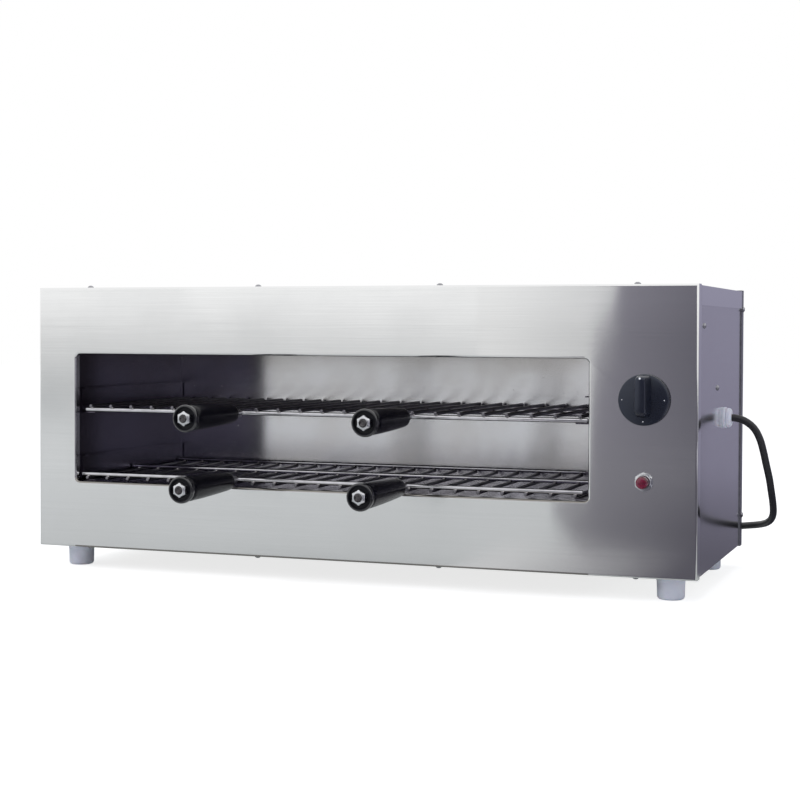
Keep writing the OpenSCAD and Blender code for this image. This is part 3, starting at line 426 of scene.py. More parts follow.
class Finish:
    """A Principled material in the making: its tree, its shader and its coordinates."""

    def __init__(self, name, **constants):
        self.material = bpy.data.materials.new(name)
        self.material.use_nodes = True
        self.tree = self.material.node_tree
        self.shader = self.tree.nodes["Principled BSDF"]
        for socket, value in constants.items():
            self.shader.inputs[socket.replace("_", " ")].default_value = value
        self.where = self.add("TexCoord").outputs["Object"]

    def add(self, kind, inputs=None, **settings):
        """A shader node in this material."""
        return add(self.tree, kind, inputs, **settings)

    def use(self, tree, **inputs):
        """Places a shader group, fed with the object's coordinates unless told otherwise."""
        node = self.add("Group", node_tree=tree)
        if "Vector" in node.inputs:
            inputs.setdefault("Vector", self.where)
        feed(self.tree, node, inputs)
        return node.outputs

    def axes(self):
        """The object's coordinates, one by one."""
        return self.add("SeparateXYZ", {"Vector": self.where}).outputs

    def stretched(self, scale):
        """The object's coordinates, scaled differently along each axis."""
        return self.add("Mapping", {"Vector": self.where, "Scale": scale}).outputs[0]

    def marked(self, label):
        """A value that the mesh carries."""
        return self.add("Attribute", attribute_name=label).outputs["Fac"]

    def swell(self, scale, detail=0.0):
        """The slow wave of thin sheet, as a height."""
        return noise(self.tree, self.where, scale, detail)["Fac"]

    def clouds(self, scale, detail=3.0, low=0.35, high=0.65):
        """Soft blotches, as a mask."""
        return self.use(CLOUDS, Scale=scale, Detail=detail, Low=low, High=high)["Mask"]

    def brushed(self, scale, contrast):
        """Brushing lines on stretched coordinates, as a mask."""
        return self.use(BRUSHED, Vector=self.stretched(scale), Contrast=contrast)["Lines"]

    def blend(self, share, low, high):
        """A colour between two, by a mask."""
        return self.add("Mix", {0: share, 6: low, 7: high}, data_type="RGBA").outputs[2]

    def times(self, first, second):
        """One colour multiplied by another."""
        return self.add("Mix", {0: 1.0, 6: first, 7: second}, data_type="RGBA",
                        blend_type="MULTIPLY").outputs[2]

    def heated(self, colour, heat):
        """A colour under the tint that heat leaves."""
        return self.times(colour, self.use(HEAT, Heat=heat)["Tint"])

    def plus(self, base, mask, share):
        """A value raised by a share of a mask."""
        return calc(self.tree, "MULTIPLY_ADD", mask, share, base)

    def between(self, value, low, high, start=0.0, end=1.0):
        """A value carried from start..end to low..high."""
        return self.add("MapRange", {"Value": value, "From Min": start, "From Max": end,
                                     "To Min": low, "To Max": high}).outputs["Result"]

    def eased(self, value, start, end):
        """0 before start, 1 after end and a soft run between."""
        return self.add("MapRange", {"Value": value, "From Min": start, "From Max": end},
                        interpolation_type="SMOOTHSTEP").outputs["Result"]

    def bump(self, height, distance, under=None):
        """A normal pushed by a height, on top of another bump if under is given."""
        inputs = {"Height": height, "Distance": distance, "Strength": 1.0}
        if under is not None:
            inputs["Normal"] = under
        return self.add("Bump", inputs).outputs["Normal"]

    def set(self, **sockets):
        """Links values to the shader's own sockets."""
        for socket, value in sockets.items():
            self.tree.links.new(value, self.shader.inputs[socket.replace("_", " ")])
        return self.material


def sheet_steel(name, stretch, base, rough, along, wave=0.0003, lines=1.0, painted_shade_below_top=1.0, lip=()):
    """Brushed stainless sheet: lines along one direction, faint smudges and hairlines,
    the slow wave of thin sheet, painted shade that darkens it below a band under the top
    edge, and painted shade on the window's lower lip where all of lip's comparisons hold."""
    f = Finish(name, Metallic=1.0, Anisotropic=along, Anisotropic_Rotation=0.25)
    grain = f.brushed(stretch, lines)
    smudge = f.clouds(7.0, 5.0, 0.42, 0.7)
    hair = f.use(SCRATCHES, Scale=11.0, Width=0.0025, Cover=0.6)["Mask"]
    place = f.axes()
    colour = f.blend(grain, opaque(base, 0.88), opaque(base, 1.09))
    colour = f.blend(f.between(smudge, 0, 0.5), colour, opaque(base, 0.93))
    # Painted shade: darker below a band under the top edge
    below = f.eased(place["Z"], *TOP_BAND_SHADE_FADES)
    colour = f.times(colour, f.blend(below, WHITE, (painted_shade_below_top, painted_shade_below_top, painted_shade_below_top, 1)))
    # Painted shade on the window's lower lip
    if lip:
        lip_painted_shade = 1.0
        for axis, side, bound in lip:
            lip_painted_shade = calc(f.tree, "MULTIPLY", calc(f.tree, side, place[axis], bound), lip_painted_shade)
        colour = f.times(colour, f.blend(lip_painted_shade, WHITE, (0.4, 0.38, 0.36, 1)))
    gloss = f.plus(f.between(grain, rough + 0.02, rough - 0.02), smudge, 0.025)
    return f.set(Base_Color=colour, Roughness=f.plus(gloss, hair, 0.025),
                 Normal=f.bump(grain, 0.000003, under=f.bump(f.swell(4.5), wave)))


def shade_painted():
    """Sheet painted dark as shade, for the dark band along the side's rear edge: angular spangles
    under a grey bloom.
    """
    f = Finish("galvanised back", Metallic=1.0)
    cells = f.add("TexVoronoi", {"Vector": f.stretched((1, 1, 1.3)), "Scale": 170.0})
    spangle = f.add("SeparateColor", {"Color": cells.outputs["Color"]}).outputs["Red"]
    bloom = f.clouds(14.0, 5.0)
    bright = f.blend(spangle, (0.25, 0.25, 0.275, 1), (0.31, 0.315, 0.345, 1))
    colour = f.blend(f.between(bloom, 0, 0.5), bright, (0.24, 0.24, 0.262, 1))
    return f.set(Base_Color=colour, Roughness=f.plus(f.between(spangle, 0.3, 0.35), bloom, 0.12),
                 Normal=f.bump(spangle, 0.000004, under=f.bump(f.swell(4.0), 0.0003)))


def chamber_steel(name, shade, tint=(1, 1, 1)):
    """Sheet that has been hot: a little straw towards the elements, baked-on specks, and
    painted shade that darkens it towards the window."""
    f = Finish(name, Metallic=1.0, Anisotropic=0.9, Anisotropic_Rotation=0.25)
    grain = f.brushed((14, 260, 260), 0.9)
    cloud = f.clouds(12.0, 3.0, 0.3, 0.75)
    specks = f.clouds(300.0, 2.0, 0.74, 0.79)
    place = f.axes()
    low, high = (tuple(shade * s * t for s, t in zip(steel, tint)) + (1,)
                 for steel in ((0.95, 0.955, 1.0), (1.05, 1.055, 1.1)))
    heat = f.plus(f.between(place["Z"], 0.0, 0.25, *CHAMBER_HEATS), cloud, 0.08)
    colour = f.heated(f.blend(grain, low, high), heat)
    # Painted shade: darker towards the window
    front = f.eased(place["Y"], *CHAMBER_SHADE_DEPTHS)
    colour = f.times(colour, f.blend(front, WHITE, (0.4, 0.38, 0.37, 1)))
    colour = f.blend(f.between(specks, 0, 0.6), colour, (0.07, 0.05, 0.04, 1))
    return f.set(Base_Color=colour, Roughness=f.plus(f.between(cloud, 0.17, 0.22), specks, 0.3),
                 Normal=f.bump(f.swell(5.0, 1.0), 0.0001))


def plated(name, base, rough, rack=False):
    """Bright plating, a little dulled: blotches, hairlines and, on the racks, rougher wires
    painted darker as shade, and the tint that spreads from the welds."""
    f = Finish(name, Metallic=1.0)
    cloud = f.clouds(90.0, 4.0, 0.35, 0.75)
    hair = f.use(SCRATCHES, Scale=60.0, Width=0.01, Cover=0.5)["Mask"]
    colour = f.blend(cloud, opaque(base), opaque(base, 0.8))
    gloss = f.plus(f.between(cloud, rough, rough + 0.08), hair, 0.12)
    if rack:
        wire = f.marked("wire")
        # Painted shade: wires darker and bluer than the rods of the same plating
        colour = f.times(colour, f.blend(wire, WHITE, (0.36, 0.36, 0.4, 1)))
        colour = f.heated(colour, f.between(f.marked("weld"), 0.0, 0.2))
        gloss = f.plus(gloss, wire, 0.2)
    return f.set(Base_Color=colour, Roughness=gloss, Normal=f.bump(hair, 0.000004))


def moulded(name, base, rough, dust=0.35, peel=0.00002, scale=900.0, rubbed="", **constants):
    """Moulded plastic: a fine skin, dust in its clouds and small changes of gloss. The
    attribute named by rubbed says where hands have polished it."""
    f = Finish(name, **constants)
    skin_of = f.use(MOULDED, Scale=scale, Dust=dust)
    cloud = f.clouds(35.0, 4.0)
    shade = f.blend(cloud, opaque(base), opaque(base, 0.82))
    grey = tuple(min(1.0, c * 0.8 + 0.05) for c in base) + (1,)
    if rubbed:
        f.set(Coat_Weight=f.marked(rubbed))
    return f.set(Base_Color=f.blend(skin_of["Dust"], shade, grey),
                 Roughness=f.plus(f.between(cloud, rough, rough + 0.06), skin_of["Dust"], 0.15),
                 Normal=f.bump(skin_of["Height"], peel))


def stud_steel():
    """A stud dark at its handle end and bright towards its weld."""
    f = Finish("stud steel", Metallic=1.0)
    cloud = f.clouds(150.0, 4.0)
    dark = f.blend(cloud, (0.1, 0.095, 0.1, 1), (0.06, 0.055, 0.06, 1))
    bright = f.blend(cloud, (0.75, 0.75, 0.78, 1), (0.6, 0.6, 0.62, 1))
    colour = f.blend(f.between(f.axes()["Y"], 0, 1, *STUD_BRIGHTENS), dark, bright)
    return f.set(Base_Color=colour, Roughness=f.between(cloud, 0.22, 0.4),
                 Normal=f.bump(cloud, 0.00001))


def element_sheath():
    """Oxidised alloy tube: dark, mottled with grey-green scale."""
    f = Finish("element sheath", Metallic=0.6)
    scale_mask = f.clouds(140.0, 6.0, 0.4, 0.65)
    scaly = f.blend(scale_mask, (0.1, 0.095, 0.09, 1), (0.19, 0.2, 0.18, 1))
    colour = f.heated(scaly, f.between(scale_mask, 0.2, 0.9))
    return f.set(Base_Color=colour, Roughness=f.between(scale_mask, 0.45, 0.75),
                 Normal=f.bump(scale_mask, 0.00008))


def mineral_wool():
    """Slab insulation: matted fibres in long loose strands."""
    f = Finish("mineral wool", Roughness=0.95, Sheen_Weight=0.3)
    strands = f.brushed((120, 420, 420), 1.6)
    lumps = f.clouds(45.0, 6.0)
    colour = f.blend(strands, (0.62, 0.56, 0.4, 1), (0.86, 0.83, 0.72, 1))
    return f.set(Base_Color=f.times(colour, f.blend(lumps, (0.8, 0.8, 0.8, 1), WHITE)),
                 Normal=f.bump(strands, 0.0008, under=f.bump(lumps, 0.002)))


def ceramic():
    """Unglazed steatite: off-white with dark pin specks."""
    f = Finish("ceramic", Specular_IOR_Level=0.3)
    specks = f.clouds(900.0, 1.0, 0.7, 0.74)
    cloud = f.clouds(70.0)
    body = f.blend(cloud, (0.8, 0.77, 0.68, 1), (0.72, 0.69, 0.6, 1))
    return f.set(Base_Color=f.blend(specks, body, (0.3, 0.25, 0.2, 1)),
                 Roughness=f.between(cloud, 0.55, 0.7), Normal=f.bump(cloud, 0.00005))


def brass():
    """Turned brass, tarnished in patches."""
    f = Finish("brass", Metallic=1.0)
    tarnish = f.clouds(160.0, 5.0, 0.45, 0.75)
    colour = f.blend(tarnish, (0.78, 0.58, 0.26, 1), (0.42, 0.28, 0.14, 1))
    lathe = f.brushed((60, 60, 2600), 0.8)
    return f.set(Base_Color=colour, Roughness=f.between(tarnish, 0.2, 0.42),
                 Normal=f.bump(lathe, 0.000002))


def red_lens():
    """Deep red clear moulding, cloudy inside, painted darker as shade where its surface turns away
    from the view.
    """
    f = Finish("red lens", Roughness=0.12, Coat_Weight=0.6, Coat_Roughness=0.05,
               Subsurface_Weight=0.25, Subsurface_Scale=0.002, IOR=1.49)
    cloud = f.clouds(240.0, 3.0)
    # Painted shade: darker where the surface turns away from the view
    turned_away_shade = f.add("LayerWeight", {"Blend": 0.35}).outputs["Facing"]
    core = f.blend(cloud, (0.17, 0.006, 0.035, 1), (0.11, 0.004, 0.022, 1))
    ribs = f.add("TexVoronoi", {"Vector": f.where, "Scale": 520.0}).outputs["Distance"]
    return f.set(Base_Color=f.blend(turned_away_shade, core, (0.06, 0.003, 0.01, 1)),
                 Normal=f.bump(ribs, 0.00012))


# The front's sheet carries painted shade below its top band and on the window's lower lip
front_steel = sheet_steel("front steel", (6, 700, 700), (0.88, 0.885, 0.885), 0.078, 1.0,
                          lines=0.75, painted_shade_below_top=0.87, lip=SHADED_WINDOW_LIP)
side_steel = sheet_steel("side steel", (900, 6, 900), (0.66, 0.66, 0.67), 0.17, 0.6,
                         wave=0.00012, lines=0.6)
# The back's sheet is painted dark as shade
back_steel = shade_painted()
# One chamber steel in two copies: dark and purple as painted shade on the chamber's pieces, light
# as painted light on the rear wall
shaded_chamber_steel = chamber_steel("shaded chamber steel", 0.32, (0.84, 0.78, 1.0))
lit_rear_wall_steel = chamber_steel("lit rear wall steel", 0.78)
rack_plating = plated("rack plating", (0.62, 0.62, 0.66), 0.08, rack=True)
zinc = plated("zinc plating", (0.68, 0.69, 0.72), 0.24)
dull_zinc = plated("dull zinc plating", (0.4, 0.4, 0.43), 0.3)
stud_metal = stud_steel()
phenolic = moulded("black phenolic", (0.003, 0.003, 0.006), 0.2, dust=0.04,
                   rubbed="collar", Specular_IOR_Level=0.17, Coat_Roughness=0.12, Coat_IOR=1.7)
knob_black = moulded("satin black", (0.009, 0.011, 0.021), 0.26, dust=0.05,
                     Specular_IOR_Level=0.62, Specular_Tint=(0.8, 0.86, 1, 1))
black_plastic = moulded("black moulding", (0.02, 0.02, 0.022), 0.45, peel=0.00005)
nylon = moulded("white nylon", (0.74, 0.76, 0.86), 0.38, dust=0.2, peel=0.00003,
                Subsurface_Weight=0.12, Subsurface_Scale=0.004)
jacket = moulded("cord jacket", (0.014, 0.014, 0.018), 0.4, dust=0.12, scale=500.0)
lead_skin = moulded("lead insulation", (0.5, 0.1, 0.06), 0.5, dust=0.1)
print_white = moulded("printed mark", (0.75, 0.76, 0.8), 0.5, dust=0.1)
sheath, wool, steatite, brass_metal, lens_red = (
    element_sheath(), mineral_wool(), ceramic(), brass(), red_lens())


# -------- mains lead

JACKET_R, PLUG_Y = 4.0, 250
GLAND_SEAT = (379.8, 80, 181)
COIL = np.array([90.0, 288.0])
ROUTE = np.array([
    (382.8, 80, 181), (391, 80, 181), (402, 81, 178), (412, 83, 170), (418, 87, 158),
    (421, 94, 144), (423, 103, 129), (425, 114, 113), (425.7, 127, 97), (425.7, 142, 82),
    (424, 158, 69), (419, 175, 60), (411, 192, 54), (400, 208, 50), (386, 221, 47),
    (370, 230, 44), (352, 235, 40), (334, 236.5, 35), (316, 236.5, 29), (298, 236.5, 22.5),
    (280, 236.5, 16), (262, 236.5, 10.5), (243, 236.5, 6.5), (223, 236.5, 4.6),
    (203, 236.5, 4.2), (180, 236.5, 4.2), (157, 236.5, 4.2), (135, 236.5, 4.5),
    (112, 236.5, 5), (90, 236.5, 5.2)])
TO_PLUG = np.array([(70, 230.5, 13.8), (50, 237.5, 14.8), (34, 245.5, 15), (22, 249.6, 15),
                    (8, 250, 15)])


# Radius of the coil's outside turns, their pitch, and the height of the lower ones
TURN_R, TURN_PITCH, TURN_LOW = 51.5, 8, 5.2


def coil_turns():
    """Four turns from the coil's front, clockwise from above: one outside and one inside
    on the surface, then one inside and one outside on top of them. Where a turn changes
    its place, the one inside or above it has already made room."""
    degrees = np.arange(10, 1441, 10.0)
    radius = TURN_R + TURN_PITCH * (ramp(degrees, 920, 1000) + ramp(degrees, 1280, 1360)
                                    - ramp(degrees, 280, 360))
    height = TURN_LOW + TURN_PITCH * ramp(degrees, 600, 680)
    turn = np.radians(degrees)
    return np.stack([COIL[0] - radius * np.sin(turn), COIL[1] - radius * np.cos(turn), height], 1)


cord_line = through(np.vstack([ROUTE, coil_turns(), TO_PLUG]), 4.0)
mains_lead = solid("mains_lead", [swept(cord_line, JACKET_R, 20)], "root",
                   jacket, ("mains_cord", "cord_coil", "plug_lead"))


def gland():
    """Flange, groove and ribbed dome on the side panel, with a threaded neck behind it. Its
    24 ribs are cut 0.25 deep, as (0.5 + 0.5 cos 24 t)^3."""
    profile = outline((0, 3), (4.15, 3, 0.4), (4.15, 9, 0.7), (10.7, 9, 4.2), (10.7, 3.8, 0.3),
                      (9.2, 3.8, 0.3), (9.2, 3, 0.3), (11.5, 3, 0.7), (11.5, 0, 0.2), (8, 0),
                      (8, -14, 0.5), (0, -14))

    def ribs(radius, height, t):
        groove = (0.5 + 0.5 * np.cos(24 * t)) ** 3
        return radius - 0.25 * ramp(radius, 9.0, 10.6) * (height > 3.9) * (height < 9) * groove

    return turned(profile, GLAND_SEAT, X, 240, shape=ribs)


solid("gland", [gland()], "root", nylon, ("cable_gland",))


def plug():
    """A rounded body lying on its back, ribbed for the fingers, with a tapered sleeve of
    rings of radius r at x along the cord's line."""
    edge = outline((60, 0), (0, 0, 2.5), (0, 30, 3.5), (60, 30))[1:-1]
    body = slab((-29, PLUG_Y, 0), 23, 26, 9, edge)
    r = np.array([9.4, 9.5, 9.2, 8.6, 8.8, 8.1, 8.3, 7.6, 7.8, 7.0, 7.2, 6.4, 6.5, 6.0, 5.2, 4.1,
                  4.1])
    x = np.array([-7, -5, -2, 0, 1.5, 3, 4.5, 6, 7.5, 9, 10.5, 12, 14, 19.2, 20, 19.9, 8.2])
    line = np.stack([x, 0 * x + PLUG_Y, 0 * x + 15], 1)
    t = circle(48)[:, None]
    rings = line[:, None] + r[:, None, None] * (np.cos(t) * Y + np.sin(t) * Z)
    return [body, capped(rings, line)]


def pin(x, y, diameter, proud):
    """A round pin with a rounded tip, sunk in the plug's face."""
    r = diameter / 2
    return turned(outline((0, -8), (r, -8), (r, proud, 1.6), (0, proud)), (x, y, 30), Z, 40)


merged_copy("cord_tie", nylon)
solid("plug_body", plug(), "root", black_plastic, ("mains_plug",))
solid("plug_pin_set", [pin(-43, PLUG_Y - 12.7, 7.05, 18.6), pin(-43, PLUG_Y + 12.7, 7.05, 18.6),
                       pin(-14.4, PLUG_Y, 8.7, 28.6)],
      "root", brass_metal, ("plug_pins",))


# -------- racks and handles

RACK = {"upper": dict(x=-29.75, rod_z=183.0, wire_side=1),
        "lower": dict(x=-34.75, rod_z=108.5, wire_side=-1)}
ROD_Y = (-78.0, 40.0, 158.0)
ROD_R, WIRE_R, WELD = 2.5, 2.0, 0.5
RACK_HALF, WIRE_HALF = 296.0, 121.8
WIRES, WIRE_PITCH = 23, 26.2
# How far a wire strays from its place, in millimetres, and from square, in radians
SLIP, LEAN = 0.25, 0.0012
BEAD = (2.6, 3.1, 1.5)  # half sizes of a bead of weld
HANDLE_OFFSETS, NUT_Y, STUD_Y = (-100, 100), -207, -215


def rod(centre, axis, half, radius, sides=20):
    """A straight rod with its ends rounded off."""
    profile = outline((0, -half), (radius, -half, 0.9), (radius, half, 0.9), (0, half))
    return turned(profile, centre, axis, sides)


def rack(which):
    """Three cross rods, the wires welded on one side of them, each a little out of place
    and out of true, and a bead of weld at each crossing: a squashed ball of few faces. The
    mesh says what is wire, and how near a weld it is: exp(-(a / 6)^2 - (b / 5)^2) at a from
    a rod and b from a wire."""
    x, rod_z, side = RACK[which]["x"], RACK[which]["rod_z"], RACK[which]["wire_side"]
    shells = [rod((x, y, rod_z), X, RACK_HALF, ROD_R, 24) for y in ROD_Y]
    wire_z = rod_z + side * (ROD_R + WIRE_R - WELD)
    wander = np.clip(np.random.default_rng(7 + side).normal(0, 1, (WIRES, 2)), -1.5, 1.5)
    ball, ball_quads = turned(outline((0, -1), (1, -1, 0.9), (1, 1, 0.9), (0, 1), steps=4),
                              (0, 0, 0), Z, 10)
    for i in range(WIRES):
        place = x + (i - (WIRES - 1) / 2) * WIRE_PITCH + wander[i, 0] * SLIP
        along = unit(Y + X * wander[i, 1] * LEAN)
        shells.append(rod((place, ROD_Y[1], wire_z), along, WIRE_HALF, WIRE_R, 16))
        for y in ROD_Y:
            at = (place + along[0] * (y - ROD_Y[1]), y, rod_z + side * (ROD_R - WELD / 2))
            shells.append((ball * BEAD + at, ball_quads))
    piece = solid(which + "_rack_wires", shells, which + "_rack", rack_plating,
                  (which + "_rack",))
    place = vertex_places(piece)
    near_rod = np.min(np.abs(place[:, 1:2] - np.array(ROD_Y)), axis=1)
    column = (place[:, 0] - x) / WIRE_PITCH + (WIRES - 1) / 2
    near_wire = np.abs(column - np.round(column)) * WIRE_PITCH
    mark(piece, "weld", np.exp(-(near_rod / 6.0) ** 2 - (near_wire / 5.0) ** 2))
    mark(piece, "wire", (near_rod > ROD_R + 0.1) | (np.abs(place[:, 2] - rod_z) > ROD_R + 0.1))


def handle(node, body):
    """A turned grip: back end rounded by a circle of 6 mm, belly of radius
    10.4 + 2.95 sin(s pi / 2), groove, round collar and a dished face with a recess for the
    nut. The collar's rim is marked, because hands polish it."""
    low, high = box_mm(node)
    end = ((low[0] + high[0]) / 2, high[1], (low[2] + high[2]) / 2)
    a = np.radians(np.arange(0, 90, 15))[:, None]
    rear = np.hstack([4.4 + 6 * np.sin(a), 12 - 6 * np.cos(a)])
    s = np.linspace(0, 1, 14)[:, None]
    belly = np.hstack([10.4 + 2.95 * np.sin(s * np.pi / 2), 12 + 97.6 * s])
    collar = outline((13.35, 109.6), (12.6, 110.6, 0.5), (13.5, 111.9, 0.5), (14.3, 112.6, 0.9),
                     (14.3, 118, 2.1), (11.9, 118, 0.6), (11.6, 117.2, 0.4), (11.05, 117.2, 0.3),
                     (11.05, 115, 0.3), (4.1, 115), steps=6)[1:]
    profile = np.vstack([[(4.1, 6)], rear, belly, collar])
    piece = solid(node + "_grip", [turned(profile, end, -Y, 96, closed=True)], body,
                  phenolic, (node,))
    x, y, z = vertex_places(piece).T
    mark(piece, "collar", (end[1] - y > 112) & (np.hypot(x - end[0], z - end[2]) > 12.4))


def nut(centre, axis, flats, height, bore, chamfer=1.6):
    """A hexagon nut: the hexagon cut by a cone at each end."""
    reach = flats * 0.58
    levels = np.array([0, 0.6, height / 2, height - chamfer, height - chamfer / 2, height])
    profile = np.vstack([[(bore, 0.3), (bore + 0.3, 0)], np.stack([0 * levels + reach, levels], 1),
                         [(bore + 0.5, height), (bore, height - 0.5)]])

    def cut(radius, level, t):
        cones = np.minimum(reach - 1.8 * np.maximum(level - (height - chamfer), 0) ** 0.9,
                           flats * 0.55 + 1.2 * level)
        return np.where(radius > flats * 0.5, np.minimum(hexagon(flats, t), cones), radius)

    return turned(profile, centre, axis, 96, closed=True, shape=cut)


def stud(x, z):
    """A threaded stud from the front rod through a handle: ridges of the thread show at
    its front end, which is hollowed where it was cut off."""
    ridges = 28
    height = np.linspace(0.9, 9, ridges)
    thread = 3.95 - 0.28 * (np.arange(ridges) % 2)
    profile = np.vstack([[(0, 1.0), (1.6, 1.0), (2.4, 0.2), (3.1, 0.0)],
                         np.stack([thread, height], 1), [(4, 10), (4, 134.6), (0, 134.6)]])
    return turned(profile, (x, STUD_Y, z), Y, 40)


for which in RACK:
    body, height = which + "_rack", RACK[which]["rod_z"]
    rack(which)
    for side in ("_left", "_right"):
        handle(which + side + "_handle", body)
    handles_x = [RACK[which]["x"] + offset for offset in HANDLE_OFFSETS]
    solid(which + "_nuts", [nut((x, NUT_Y, height), -Y, flats=13.6, height=6.5, bore=4.05)
                            for x in handles_x],
          body, zinc, (which + "_handle_nuts",))
    solid(which + "_studs", [stud(x, height) for x in handles_x], body,
          stud_metal, (which + "_handle_studs",))


# -------- controls

KNOB = np.array([327.0, -90.0, 206.0])
LAMP = np.array([327.0, -90.0, 123.0])
SKIRT_R, FACE_EDGE = 26.0, 24.7
# The grip's reach from its middle and the power of its fall there, at its head and its foot
GRIP_HEAD, GRIP_FOOT = (24.8, 36.0), (17.5, 6.0)
GRIP_BACK, GRIP_LOW, GRIP_FRONT = 6.9, 7.4, 25.0
# Half across the grip, and the share of the way from its back to its front
GRIP_SECTION = outline((-9.3, 0), (-8.8, 0.1, 0.2), (-5.4, 1, 0.8), (5.4, 1, 0.8),
                       (8.8, 0.1, 0.2), (9.3, 0), steps=5)


def face_height(r):
    """The knob's dome: 9.8 - 3 (r / 26)^2."""
    return 9.8 - 3.0 * (r / SKIRT_R) ** 2


def grip_height(s):
    """Height of the grip's front, at s from its middle towards its head:
    low + (front - low) * (1 - |s / reach|^power)."""
    (head, head_power), (foot, foot_power) = GRIP_HEAD, GRIP_FOOT
    fall = np.where(s > 0, np.abs(s / head) ** head_power, np.abs(s / foot) ** foot_power)
    return GRIP_LOW + (GRIP_FRONT - GRIP_LOW) * np.clip(1 - fall, 0, 1)


def knob_skirt():
    """Hollow-backed disc with a domed face and a rounded rim."""
    r = np.linspace(FACE_EDGE, 0, 22)
    back = outline((0, 6.6), (21.5, 6.6, 0.5), (21.5, 0.8, 0.3), (SKIRT_R, 0.8, 0.5),
                   (SKIRT_R, 6.4, 1.4), (FACE_EDGE, face_height(FACE_EDGE)), steps=6)
    profile = np.vstack([back[:-1], np.stack([r, face_height(r)], 1)])
    return turned(profile, KNOB, -Y, 128)


def knob_grip():
    """The grip bar: its section, a rounded trapezium, carried along s from foot to head. At
    a share u of its reach it is 0.3 + 0.7 (1 - u^2)^0.2 as wide."""
    (head, _), (foot, _) = GRIP_HEAD, GRIP_FOOT
    s = np.concatenate([-foot * np.cos(np.linspace(0.02, np.pi / 2, 24, endpoint=False)),
                        head * np.sin(np.linspace(0, np.pi / 2 - 0.02, 30))])[:, None]
    share = np.where(s > 0, s / head, -s / foot)
    half, up = GRIP_SECTION.T
    width = half * (0.3 + 0.7 * (1 - share ** 2) ** 0.2)
    height = GRIP_BACK + (grip_height(s) - GRIP_BACK) * up
    points = np.stack([KNOB[0] + width, KNOB[1] - height, KNOB[2] + s + 0 * width], -1)
    return capped(points, points.mean(1))


def dot(x, z, radius, height):
    """A printed dot, a hair proud of a surface height(x, z) and square to its slope."""
    profile = outline((0, -0.3), (radius, -0.3), (radius, 0.12, 0.05), (0, 0.12), steps=3)
    step = 0.01
    fall_x = (height(x - step, z) - height(x + step, z)) / (2 * step)
    fall_z = (height(x, z - step) - height(x, z + step)) / (2 * step)
    axis = unit(fall_x * X - Y + fall_z * Z)
    return turned(profile, KNOB + (x, -height(x, z), z), axis, 24)


def on_face(x, z):
    """The knob's face under a dot."""
    return float(face_height(math.hypot(x, z)))


def on_grip(x, z):
    """The grip's front under a dot, level across the grip."""
    return float(grip_height(z))


solid("knob", [knob_skirt(), knob_grip()], "selector", knob_black,
      ("selector_knob",), sharp=50)
solid("knob_marks", [dot(21.6, 0, 0.6, on_face), dot(-21.6, 0, 0.5, on_face),
                     dot(0, 22.2, 1.1, on_grip), dot(0, -21.7, 0.6, on_face)],
      "selector", print_white)


def lamp_lens():
    """A short barrel with a domed end."""
    profile = outline((0, 0.2), (6.4, 0.2, 0.4), (6.4, 14, 3.4), (0, 14.3), steps=9)
    return turned(profile, LAMP, -Y, 64)


def lamp_bezel():
    """Flange, hexagon and collar in one turning."""
    levels = np.array([0, 0.8, 0.81, 2.0, 2.6, 3.0])
    radii = np.array([9.5, 9.3, 10.2, 10.2, 9.6, 8.8])
    profile = np.vstack([[(6.5, 0)], np.stack([radii, levels], 1),
                         outline((7.9, 3.02, 0.2), (7.6, 5, 0.5), (6.5, 5, 0.3), steps=4)])

    def cut(radius, level, t):
        return np.where((level > 0.8) & (radius > 8.7), np.minimum(radius, hexagon(17.5, t)),
                        radius)

    return turned(profile, LAMP, -Y, 96, closed=True, shape=cut)


solid("indicator_cap", [lamp_lens()], "root", lens_red, ("indicator_lens",))
solid("indicator_ring", [lamp_bezel()], "root", zinc, ("indicator_bezel",))


# -------- feet and screws

def foot(node):
    """A tapered nylon foot with a moulding step, a rounded tread and a screw recess."""
    low, high = box_mm(node)
    middle = ((low[0] + high[0]) / 2, (low[1] + high[1]) / 2, 0)
    profile = outline((2.6, 26.2), (15, 26.2, 0.4), (15, 19, 1.2), (14.6, 18.4, 0.3),
                      (14.2, 2.2, 1.2), (12.4, 0, 1.4), (6, 0, 0.6), (6, 17.2, 0.3), (2.6, 17.2))
    solid(node + "_moulding", [turned(profile, middle, Z, 72, closed=True)], "root",
          nylon, (node,))


for corner in ("front_left", "front_right", "rear_left", "rear_right"):
    foot(corner + "_foot")


def screw(place, axis, shank=6.0, head=0.85):
    """A pan head with a cross recess: rings shrink from the rim to the cross, whose edge
    at angle t is the wider of its two arms there, and sink along it. The head's height at
    radius r is 2.8 - 2 (r / 4)^2.4."""
    t = circle(64)
    ring = 0 * t  # adding it takes a number all round
    c, s = np.abs(np.cos(t)) + 1e-6, np.abs(np.sin(t)) + 1e-6
    cross = np.maximum(np.minimum(0.55 / c, 2.1 / s), np.minimum(2.1 / c, 0.55 / s))

    def dome(r):
        return 2.8 - 2.0 * (r / 4.0) ** 2.4

    shank_rings = [(ring, -shank), (ring + 1.6, -shank), (ring + 2, 0.4 - shank), (ring + 2, 0.0)]
    pan = [(ring + 3.9, 0.0), (ring + 4, 0.15)]
    pan += [(ring + r, dome(r)) for r in (4.0, 3.9, 3.6, 3.1, 2.5)]
    recess = [(cross + 0.12, dome(cross + 0.12)), (cross, dome(cross) - 0.1),
              (cross * 0.9, ring + 1.3), (ring, ring + 0.9)]
    rings = shank_rings + [(r * head, h * head) for r, h in pan + recess]
    out = spokes(axis, t)
    return skin(np.stack([np.asarray(place) + r[:, None] * out + (h + ring)[:, None] * axis
                          for r, h in rings]))


EDGE_X = (-317.5, -105.83, 105.83, 317.5)
TOP, BASE = 323.0, 25.0
FRONT_ROW, REAR_ROW = -82.0, 207.0
